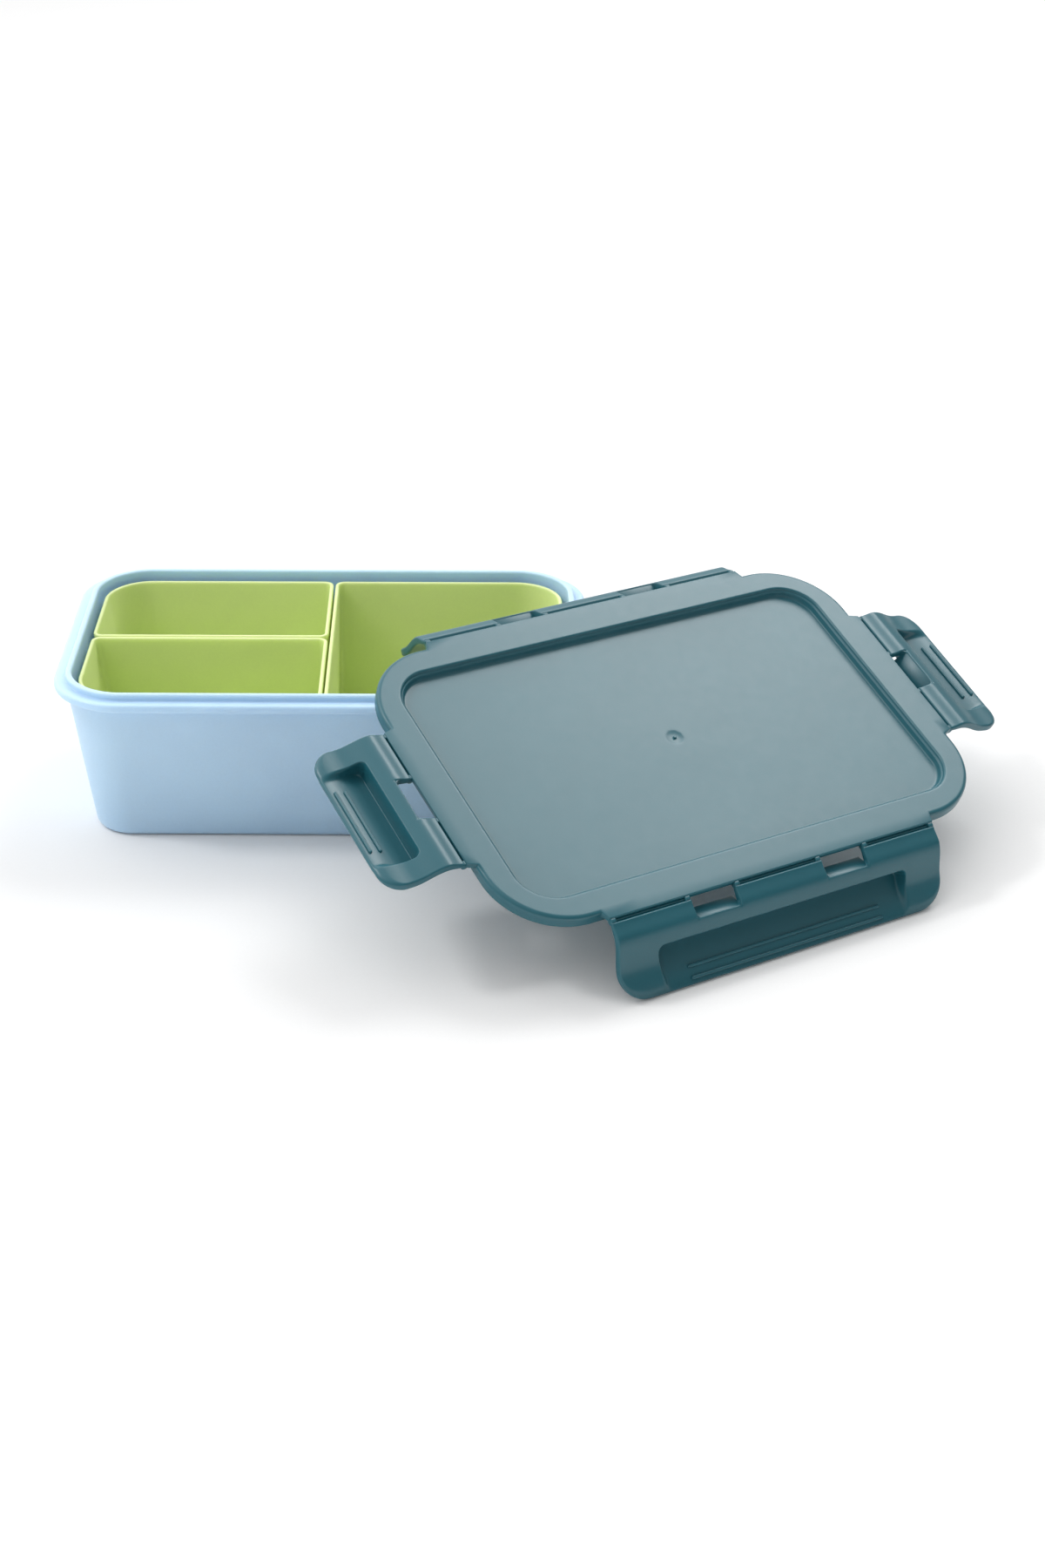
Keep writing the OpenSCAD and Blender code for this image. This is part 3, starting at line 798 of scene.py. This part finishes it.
def lines_between(start, end, spacing):
    """Evenly spaced lines that include both ends."""
    count = max(1, round((end - start) / spacing))
    return [start + (end - start) * k / count for k in range(count + 1)]


def length_lines():
    """Lines along the latch, close together at the hinge, the scoop's edge and the tip."""
    lines = [line for span in length_spans for line in lines_between(*span)]
    return np.array(sorted(set(round(line, 4) for line in lines)))


def width_lines(half, pocket, corner, windows):
    """Lines across the latch, close together at its sides, the scoop's sides and the windows."""
    marks = [0.0]
    for s in (-1, 1):
        marks += [place + s * (window_half + step) for place in windows for step in window_steps]
        marks += [s * (half - corner + corner * math.sin(math.radians(a))) for a in range(0, 91, 5)]
        marks += [s * (half - step) for step in side_steps]
        marks += [s * (pocket - step) for step in scoop_side_steps]
    marks += lines_between(-half, half, plain_spacing)
    ordered = sorted(set(round(mark, 3) for mark in marks))
    fixed = {round(place + s * window_half, 3) for place in windows for s in (-1, 1)} | {half}
    kept = [ordered[0]]
    for line in ordered[1:]:
        if line - kept[-1] > narrowest_cell:
            kept.append(line)
        elif line in fixed:
            kept[-1] = line
    return np.array(kept)


def bent_grid(half, corner, windows, across, along):
    """Places the grid's points, with lines that follow the corners of the tip and the windows."""
    x, u = np.meshgrid(across, along, indexing="ij")
    past_corner = np.maximum(np.abs(x) - (half - corner), 0)
    reach_u = (latch_length - corner) + np.sqrt(np.maximum(corner ** 2 - past_corner ** 2, 0))
    squeezed = squeeze_from + (u - squeeze_from) * (reach_u - squeeze_from) / (latch_length - squeeze_from)
    u = np.where(u > squeeze_from, squeezed, u)
    for place in windows:
        off = np.abs(x - place)
        into_corner = np.clip(off - window_half + window_corner, 0, window_corner)
        bend = window_corner - np.sqrt(np.maximum(window_corner ** 2 - into_corner ** 2, 0))
        bend = bend * np.clip(1 - (off - window_half) / window_fade, 0, 1)
        below = np.clip(u / catch_distance, 0, 1)
        above = np.clip((catch_distance + beyond_window - u) / beyond_window, 0, 1)
        u = u - bend * np.where(u <= catch_distance + 0.001, below, above)
    return x, u


print("lines along a latch:", len(length_lines()))

# %% [markdown]
# ### The heights
#
# The plate's height drops in a quarter circle near every edge: small and
# round at the sides and the windows, broad at the tip. The scoop then
# takes over wherever it lies below the plate, and under it a wall of even
# thickness follows, so the latch is a shell as it is on the real lid.

# %% Rounded edges and the scoop
side_fall = 0.9
tip_fall = 1.85
tip_run = 4.0
hinge_fall = 0.3
window_fall = 0.4
small_run = 0.5
far_away = 9.0
scoop_corner = 3.0
scoop_wall = 1.6
scoop_run = 1.6
scoop_crispness = 2.2
scoop_widening = 0.28
scoop_side_runs = (1.2, 5.3)
scoop_softness = 0.12
thinnest = 0.02


def edge_drop(distance, fall, run):
    """How far a rounded edge has dropped at a distance inside its outline."""
    t = np.clip(distance / run, 0, 1)
    return fall * (1 - np.sqrt(1 - (1 - t) ** 2))


def outline_drop(x, u, half, corner):
    """The drop at the sides and the tip, blended around the corners between them."""
    beyond_x = np.abs(x) - (half - corner)
    beyond_u = u - (latch_length - corner)
    turn = np.clip(np.arctan2(beyond_u, beyond_x) / (np.pi / 2), 0, 1)
    turn = turn * turn * (3 - 2 * turn)
    corner_fall = side_fall + (tip_fall - side_fall) * turn
    corner_run = side_fall + (tip_run - side_fall) * turn
    round_corner = edge_drop(corner - np.hypot(beyond_x, beyond_u), corner_fall, corner_run)
    at_side = edge_drop(half - np.abs(x), side_fall, side_fall)
    at_tip = edge_drop(latch_length - u, tip_fall, tip_run)
    return np.where((beyond_x > 0) & (beyond_u > 0), round_corner, np.maximum(at_side, at_tip))


def window_drop(x, u, windows):
    """The drop around the windows."""
    from_window = np.full(x.shape, far_away)
    for place in windows:
        gap_x = np.abs(x - place) - window_half
        gap_u = u - catch_distance
        outside = np.where((gap_x > 0) & (gap_u > 0), np.hypot(gap_x, gap_u), np.maximum(gap_x, gap_u))
        from_window = np.minimum(from_window, np.maximum(outside, 0))
    return edge_drop(from_window, window_fall, small_run)


def crisp_step(share):
    """Rises from 0 to 1 with a firm edge at both ends."""
    t = np.clip(share, 0, 1)
    return t ** scoop_crispness / (t ** scoop_crispness + (1 - t) ** scoop_crispness)


def scoop_share(x, u, half, start, corner):
    """How deep inside the scoop a spot is: 0 outside, 1 on the floor."""
    inside_x = half - np.abs(x)
    inside_u = u - start
    side_run = np.clip((u - scoop_start) * scoop_widening, *scoop_side_runs)
    plain = np.minimum(inside_x / side_run, inside_u / scoop_run)
    reach = np.hypot(corner - inside_x, corner - inside_u)
    turn = np.arctan2(corner - inside_u, corner - inside_x) / (np.pi / 2)
    mixed_run = side_run + (scoop_run - side_run) * np.clip(turn, 0, 1)
    in_corner = (inside_x < corner) & (inside_u < corner)
    return crisp_step(np.where(in_corner, (corner - reach) / mixed_run, plain))


def latch_heights(x, u, half, pocket, corner, windows):
    """Top and bottom heights of the whole latch."""
    drop = outline_drop(x, u, half, corner)
    at_hinge = edge_drop(u - hinge_gap_half, hinge_fall, small_run)
    plain = plate_top(u) - drop - np.maximum(at_hinge, window_drop(x, u, windows))
    scoop = scoop_floor(u)
    lower = (scoop + plain - np.sqrt((scoop - plain) ** 2 + scoop_softness ** 2)) / 2
    top = plain + (lower - plain) * scoop_share(x, u, pocket, scoop_start, scoop_corner)
    under = plate_under(u) + drop
    pan_share = scoop_share(x, u, pocket + scoop_wall, scoop_start - scoop_wall, scoop_corner + scoop_wall)
    bottom = under + (np.minimum(under, scoop - scoop_wall) - under) * pan_share
    return top, np.minimum(bottom, top - thinnest)


print("shell under the scoop:", scoop_wall, "mm")

# %% [markdown]
# ### Hooks and slopes
#
# A hook is a wedge with a flat catching face and a long ramp. The face is
# what holds the flange, so it stays flat and only its edges are broken.
# Inside the window a slope leads from the plate's outer face down to the
# hook: it stiffens the hook, and light from above falls on it.

# %% Wedges
hook_outline = [(7.05, 0.6), (7.05, -6.4), (7.8, -7.1), (8.5, -7.1), (12.6, -0.5), (12.6, 0.2)]
hook_half = 9.5
slope_outline = [(7.9, 3.3), (7.25, 3.35), (4.2, -2.45), (4.65, -2.9), (7.9, -2.9)]
slope_half = 10.2
broken_edge = 0.25


def add_wedge(work, place, outline, half):
    """Adds one wedge with broken edges to a latch."""
    left, right = [[work.verts.new(((place + s * half) * MM, u * MM, height * MM)) for u, height in outline]
                   for s in (-1, 1)]
    faces = [work.faces.new(left), work.faces.new(list(reversed(right)))]
    for k in range(len(outline)):
        n = (k + 1) % len(outline)
        faces.append(work.faces.new((left[n], left[k], right[k], right[n])))
    bmesh.ops.recalc_face_normals(work, faces=faces)
    edges = list(dict.fromkeys(edge for face in faces for edge in face.edges))
    bmesh.ops.bevel(work, geom=edges, offset=broken_edge * MM, segments=2, profile=0.5, affect="EDGES",
                    offset_type="OFFSET", clamp_overlap=True)


print("a hook is", 2 * hook_half, "mm wide")

# %% [markdown]
# ### Putting a latch together
#
# Cells inside the windows are left out, and every open edge between top
# and bottom is closed with a wall, which keeps the latch one watertight
# solid. The frame's hinge then says where the finished latch hangs.

# %% Four latches
def plate_faces(solid):
    """Faces above and below every solid cell, and walls where a solid cell meets an open one."""
    rows, columns = solid.shape
    row_step = columns + 1
    below = (rows + 1) * row_step
    around = np.pad(solid, 1)
    faces = []
    for i, j in np.argwhere(solid).tolist():
        a = i * row_step + j
        b = a + row_step
        faces.append((a, b, b + 1, a + 1))
        faces.append((a + below, a + 1 + below, b + 1 + below, b + below))
        edges = [(around[i, j + 1], a, a + 1), (around[i + 2, j + 1], b + 1, b),
                 (around[i + 1, j], b, a), (around[i + 1, j + 2], a + 1, b + 1)]
        faces += [(start, end, end + below, start + below) for filled, start, end in edges if not filled]
    return faces


def make_latch(name, width, cheek, corner, windows):
    """A latch drawn flat: x along its hinge, y away from it and z outwards."""
    half = width / 2
    pocket = half - cheek
    along = length_lines()
    across = width_lines(half, pocket, corner, windows)
    x, u = bent_grid(half, corner, windows, across, along)
    heights = latch_heights(x, u, half, pocket, corner, windows)
    points = [tuple(p) for z in heights for p in np.stack([x, u, z], axis=-1).reshape(-1, 3) * MM]
    centre_x = (across[1:] + across[:-1]) / 2
    centre_u = (along[1:] + along[:-1]) / 2
    solid = np.ones((len(centre_x), len(centre_u)), bool)
    for place in windows:
        solid[np.ix_(np.abs(centre_x - place) < window_half, centre_u < catch_distance)] = False
    mesh = bpy.data.meshes.new(name)
    mesh.from_pydata(points, [], plate_faces(solid))
    mesh.update()
    work = bmesh.new()
    work.from_mesh(mesh)
    loose = [v for v in work.verts if not v.link_faces]
    bmesh.ops.delete(work, geom=loose, context="VERTS")
    for place in windows:
        add_wedge(work, place, hook_outline, hook_half)
        add_wedge(work, place, slope_outline, slope_half)
    work.to_mesh(mesh)
    work.free()
    return mesh


def hinge_place(side, fold):
    """Where a piece drawn flat goes, folded down by some degrees from the lid's plane."""
    axis = hinge_axis(f"latch_{side}_hinge")
    outward = lid_z.cross(axis)
    turn = math.radians(fold)
    away = outward * math.cos(turn) - lid_z * math.sin(turn)
    upward = lid_z * math.cos(turn) + outward * math.sin(turn)
    return placement(axis, away, upward, hinge_point(f"latch_{side}_hinge"))


long_windows = [-30.0, 30.0]
short_windows = [0.0]
# Cheek width, tip corner and windows of a long and of a short latch.
long_latch = (17.0, 12.0, long_windows)
short_latch = (9.5, 9.0, short_windows)
latch_shapes = {"front": long_latch, "back": long_latch, "left": short_latch, "right": short_latch}
latch_folds = {"front": 45.651, "back": 51.028, "left": 4.0, "right": 12.0}
latch_places = {}
for side, fold in latch_folds.items():
    latch_places[side] = hinge_place(side, fold)
    latch_mesh = make_latch(f"latch_{side}", latch_widths[side], *latch_shapes[side])
    latch_mesh.transform(latch_places[side])
    latch = finish_piece(f"{side}_latch_plate", latch_mesh, lid_plastic)
    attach(latch, f"latch_{side}")
    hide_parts(f"latch_{side}")
    print(side, "latch faces:", len(latch_mesh.polygons))

# %% [markdown]
# ## Grip ribs
#
# Two low ribs near the tip stop a wet finger from slipping. A rib is the
# same rod repeated, so a small tree lays rods on the points of a line.
# The line's step climbs with the floor of the scoop.

# %% Rods along a straight spine
def straight_spine(tree, half_length, count):
    """A line of points along X with its middle at zero, and each point's place from -1 to 1."""
    end = add_node(tree, "ShaderNodeCombineXYZ", {}, {"X": half_length})
    start = add_node(tree, "ShaderNodeVectorMath", {"operation": "SCALE"}, {
        0: end.outputs[0], "Scale": -1.0})
    line = add_node(tree, "GeometryNodeCurvePrimitiveLine", {}, {
        "Start": start.outputs[0], "End": end.outputs[0]})
    spine = add_node(tree, "GeometryNodeResampleCurve", {}, {"Curve": line.outputs[0], "Count": count})
    along = add_node(tree, "GeometryNodeSplineParameter", {}, {})
    centred = add_node(tree, "ShaderNodeMath", {"operation": "MULTIPLY_ADD"}, {
        0: along.outputs["Factor"], 1: 2.0, 2: -1.0})
    return spine.outputs[0], centred.outputs[0]


def round_rod(tree, spine, corners, radius, thickness):
    """A closed rod along a spine; thickness is its share of the radius at each point."""
    section = add_node(tree, "GeometryNodeCurvePrimitiveCircle", {"mode": "RADIUS"}, {
        "Resolution": corners, "Radius": radius})
    rod = add_node(tree, "GeometryNodeCurveToMesh", {}, {
        "Curve": spine, "Profile Curve": section.outputs[0], "Scale": thickness, "Fill Caps": True})
    return rod.outputs[0]


# %% A tree that lays ribs
# Each end is a half ball: within one radius of it, the thickness is the
# square root of one less the square of what is left of that radius.
rib_tree, given = new_tree("ribs laid on a line of points", {
    "Rib Count": "Int", "Half Length": "Float", "Rib Radius": "Float", "First Place": "Vector",
    "Step": "Vector", "Material": "Material"})
rib_spine, rib_way = straight_spine(rib_tree, given["Half Length"], 241)
plus = add_node(rib_tree, "ShaderNodeMath", {"operation": "ABSOLUTE"}, {0: rib_way})
from_end = add_node(rib_tree, "ShaderNodeMath", {"operation": "SUBTRACT"}, {0: 1.0, 1: plus.outputs[0]})
in_metres = add_node(rib_tree, "ShaderNodeMath", {"operation": "MULTIPLY"}, {
    0: from_end.outputs[0], 1: given["Half Length"]})
in_radii = add_node(rib_tree, "ShaderNodeMath", {"operation": "DIVIDE", "use_clamp": True}, {
    0: in_metres.outputs[0], 1: given["Rib Radius"]})
left_over = add_node(rib_tree, "ShaderNodeMath", {"operation": "SUBTRACT"}, {
    0: 1.0, 1: in_radii.outputs[0]})
squared = add_node(rib_tree, "ShaderNodeMath", {"operation": "MULTIPLY"}, {
    0: left_over.outputs[0], 1: left_over.outputs[0]})
remaining = add_node(rib_tree, "ShaderNodeMath", {"operation": "SUBTRACT"}, {
    0: 1.0, 1: squared.outputs[0]})
round_end = add_node(rib_tree, "ShaderNodeMath", {"operation": "SQRT"}, {0: remaining.outputs[0]})
kept_open = add_node(rib_tree, "ShaderNodeMath", {"operation": "MAXIMUM"}, {
    0: round_end.outputs[0], 1: 0.05})
rib = round_rod(rib_tree, rib_spine, 16, given["Rib Radius"], kept_open.outputs[0])
rib_spots = add_node(rib_tree, "GeometryNodeMeshLine", {"mode": "OFFSET"}, {
    "Count": given["Rib Count"], "Start Location": given["First Place"], "Offset": given["Step"]})
laid = add_node(rib_tree, "GeometryNodeInstanceOnPoints", {}, {
    "Points": rib_spots.outputs[0], "Instance": rib})
close_tree(rib_tree, laid.outputs[0], given["Material"])

# %% Two ribs on each latch
rib_radius = 0.7
rib_lift = 0.2
rib_places = (25.0, 29.2)
rib_heights = [float(scoop_floor(np.array(u))) + rib_lift for u in rib_places]
rib_climb = rib_heights[1] - rib_heights[0]
rib_half_lengths = {"front": 45.0, "back": 45.0, "left": 15.5, "right": 15.5}
for side, half_length in rib_half_lengths.items():
    rib_mesh = grow(f"{side}_grip_ribs", rib_tree, {
        "Rib Count": 2, "Half Length": half_length * MM, "Rib Radius": rib_radius * MM,
        "First Place": (0, rib_places[0] * MM, rib_heights[0] * MM),
        "Step": (0, (rib_places[1] - rib_places[0]) * MM, rib_climb * MM),
        "Material": lid_plastic})
    rib_mesh.transform(latch_places[side])
    ribs = finish_piece(f"{side}_grip_ribs", rib_mesh, lid_plastic)
    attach(ribs, f"latch_{side}")
    print(side, "rib faces:", len(rib_mesh.polygons))

# %% [markdown]
# ## Film hinges
#
# Between the windows a thin bead of the same plastic joins each latch to
# the lid. It is the only part that bends, and polypropylene can take many
# thousands of folds. At each end of a bead is a thicker knuckle that stops
# a tear from starting. A tree sweeps the bead along guide lines and sets
# one knuckle on every end point.

# %% A tree that makes beads with knuckles
# A knuckle is a barrel: its thickness is the square root of 1.02 less the
# eighth power of the way from its middle to its end, so it never closes.
film_tree, given = new_tree("beads with knuckles along guide lines", {
    "Guide": "Object", "Bead Radius": "Float", "Knuckle Radius": "Float", "Knuckle Length": "Float",
    "Material": "Material"})
guide = add_node(film_tree, "GeometryNodeObjectInfo", {}, {"Object": given["Guide"]})
guide_lines = add_node(film_tree, "GeometryNodeMeshToCurve", {}, {"Mesh": guide.outputs["Geometry"]})
beads = round_rod(film_tree, guide_lines.outputs[0], 20, given["Bead Radius"], 1.0)
half_knuckle = add_node(film_tree, "ShaderNodeMath", {"operation": "MULTIPLY"}, {
    0: given["Knuckle Length"], 1: 0.5})
knuckle_spine, knuckle_way = straight_spine(film_tree, half_knuckle.outputs[0], 25)
squared = add_node(film_tree, "ShaderNodeMath", {"operation": "MULTIPLY"}, {
    0: knuckle_way, 1: knuckle_way})
steep = add_node(film_tree, "ShaderNodeMath", {"operation": "POWER"}, {0: squared.outputs[0], 1: 4.0})
full = add_node(film_tree, "ShaderNodeMath", {"operation": "SUBTRACT"}, {0: 1.02, 1: steep.outputs[0]})
barrel = add_node(film_tree, "ShaderNodeMath", {"operation": "SQRT"}, {0: full.outputs[0]})
knuckle = round_rod(film_tree, knuckle_spine, 32, given["Knuckle Radius"], barrel.outputs[0])
knuckles = add_node(film_tree, "GeometryNodeInstanceOnPoints", {}, {
    "Points": guide.outputs["Geometry"], "Instance": knuckle})
joined = add_node(film_tree, "GeometryNodeJoinGeometry", {}, {})
film_tree.links.new(beads, joined.inputs[0])
film_tree.links.new(knuckles.outputs[0], joined.inputs[0])
close_tree(film_tree, joined.outputs[0], given["Material"])

# %% A film hinge for each latch
film_radius = 0.5
knuckle_radius = 1.5
knuckle_length = 2.4
for side, width in latch_widths.items():
    windows = latch_shapes[side][2]
    starts = [-width / 2] + [place + window_half for place in windows]
    ends = [place - window_half for place in windows] + [width / 2]
    guide_points = []
    for start, end in zip(starts, ends):
        guide_points.append(((start + knuckle_length / 2) * MM, 0, 0))
        guide_points.append(((end - knuckle_length / 2) * MM, 0, 0))
    guide_mesh = bpy.data.meshes.new(f"{side} guide")
    guide_mesh.from_pydata(guide_points, [(k, k + 1) for k in range(0, len(guide_points), 2)], [])
    guide_object = bpy.data.objects.new(f"{side} guide", guide_mesh)
    bpy.context.scene.collection.objects.link(guide_object)
    film_mesh = grow(f"{side}_film_hinge", film_tree, {
        "Guide": guide_object, "Bead Radius": film_radius * MM, "Knuckle Radius": knuckle_radius * MM,
        "Knuckle Length": knuckle_length * MM, "Material": lid_plastic})
    bpy.data.objects.remove(guide_object)
    film_mesh.transform(hinge_place(side, 0))
    film = finish_piece(f"{side}_film_hinge", film_mesh, lid_plastic)
    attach(film, "lid")
    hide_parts(f"film_hinge_{side}")
    print(side, "film hinge faces:", len(film_mesh.polygons))

# %% [markdown]
# ## Floor and light
#
# The box stands on a wide pale floor that runs out of the picture. One
# large soft lamp hangs above and behind, to the right, so upper faces glow
# and the faces turned to the viewer stay deep. A small lamp at the upper
# left gives the tub's wall a little form. The sky is brighter overhead,
# behind and on the left, and dim on the right, which draws a soft sheen
# over the tilted lid that fades to one side.

# %% Floor
floor_half = 4.0
floor_level = -0.15 * MM
fibre_size = 1.2
floor_mesh = bpy.data.meshes.new("floor")
floor_points = [(-floor_half, -floor_half, floor_level), (floor_half, -floor_half, floor_level),
                (floor_half, floor_half, floor_level), (-floor_half, floor_half, floor_level)]
floor_mesh.from_pydata(floor_points, [], [(0, 1, 2, 3)])
floor_mesh.update()
floor_material = bpy.data.materials.new("matt white board")
floor_material.use_nodes = True
floor_tree = floor_material.node_tree
floor_tree.nodes.clear()
floor_place = add_node(floor_tree, "ShaderNodeTexCoord", {}, {}).outputs["Object"]
fibre = add_node(floor_tree, "ShaderNodeTexNoise", {}, {
    "Vector": floor_place, "Scale": 1 / (fibre_size * MM), "Detail": 2.0})
board = add_node(floor_tree, "ShaderNodeMapRange", {}, {
    "Value": fibre.outputs["Fac"], "To Min": 0.90, "To Max": 0.93})
board_bump = add_node(floor_tree, "ShaderNodeBump", {}, {
    "Height": fibre.outputs["Fac"], "Strength": 0.4, "Distance": 0.02 * MM})
board_surface = add_node(floor_tree, "ShaderNodeBsdfDiffuse", {}, {
    "Color": board.outputs[0], "Roughness": 0.6, "Normal": board_bump.outputs[0]})
add_node(floor_tree, "ShaderNodeOutputMaterial", {}, {"Surface": board_surface.outputs[0]})
floor_mesh.materials.append(floor_material)
floor = bpy.data.objects.new("floor", floor_mesh)
bpy.context.scene.collection.objects.link(floor)
floor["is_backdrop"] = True
print("floor:", 2 * floor_half, "m wide")

# %% Sky
world = bpy.data.worlds.new("studio")
bpy.context.scene.world = world
world.use_nodes = True
sky = world.node_tree
sky.nodes.clear()
direction = add_node(sky, "ShaderNodeTexCoord", {}, {}).outputs["Generated"]
parts = add_node(sky, "ShaderNodeSeparateXYZ", {}, {"Vector": direction})
rise = add_node(sky, "ShaderNodeMapRange", {"interpolation_type": "SMOOTHSTEP"}, {
    "Value": parts.outputs["Z"], "From Min": 0.0, "From Max": 0.8, "To Min": 0.75, "To Max": 1.4})
back = add_node(sky, "ShaderNodeMapRange", {"interpolation_type": "SMOOTHSTEP"}, {
    "Value": parts.outputs["Y"], "From Min": -0.7, "From Max": 0.5, "To Min": 0.45, "To Max": 1.1})
left = add_node(sky, "ShaderNodeMapRange", {"interpolation_type": "SMOOTHSTEP"}, {
    "Value": parts.outputs["X"], "From Min": -0.8, "From Max": 0.8, "To Min": 1.5, "To Max": 0.4})
level = add_node(sky, "ShaderNodeMath", {"operation": "MULTIPLY"}, {
    0: back.outputs[0], 1: left.outputs[0]})
brightness = add_node(sky, "ShaderNodeMath", {"operation": "MULTIPLY"}, {
    0: level.outputs[0], 1: rise.outputs[0]})
glow = add_node(sky, "ShaderNodeBackground", {}, {
    "Color": (1.0, 1.0, 1.0, 1.0), "Strength": brightness.outputs[0]})
add_node(sky, "ShaderNodeOutputWorld", {}, {"Surface": glow.outputs[0]})
print("sky nodes:", len(sky.nodes))

# %% Lamps
lamp_target = (0.08, -0.04, 0.03)


def soft_box(name, place, size, power):
    """A square lamp, turned to face the middle of the set."""
    data = bpy.data.lights.new(name, "AREA")
    data.shape = "SQUARE"
    data.size = size
    data.energy = power
    lamp = bpy.data.objects.new(name, data)
    way = (Vector(lamp_target) - Vector(place)).normalized()
    turn = way.to_track_quat("-Z", "Y").to_matrix().to_4x4()
    lamp.matrix_world = Matrix.Translation(place) @ turn
    bpy.context.scene.collection.objects.link(lamp)
    print(name, "at", [round(v, 2) for v in place])


soft_box("back soft box", (0.90, 1.08, 1.76), 1.0, 20.0)
soft_box("left soft box", (-1.25, -0.10, 1.60), 0.3, 8.0)
bpy.context.scene.view_settings.view_transform = "Standard"

# %% [markdown]
# ## Finish
#
# The box that holds the frame, measured at the start, is set beside the box that holds the finished pieces,
# measured now, and the largest difference between them is printed. Each piece follows its working part, so
# the two should be close.

# %% Compare the sizes and finish
final_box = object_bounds()
gaps = [abs(a - b) for cad, final in zip(cad_box, final_box) for a, b in zip(cad, final)]
print("largest difference from the frame:", round(max(gaps) / MM, 2), "mm")
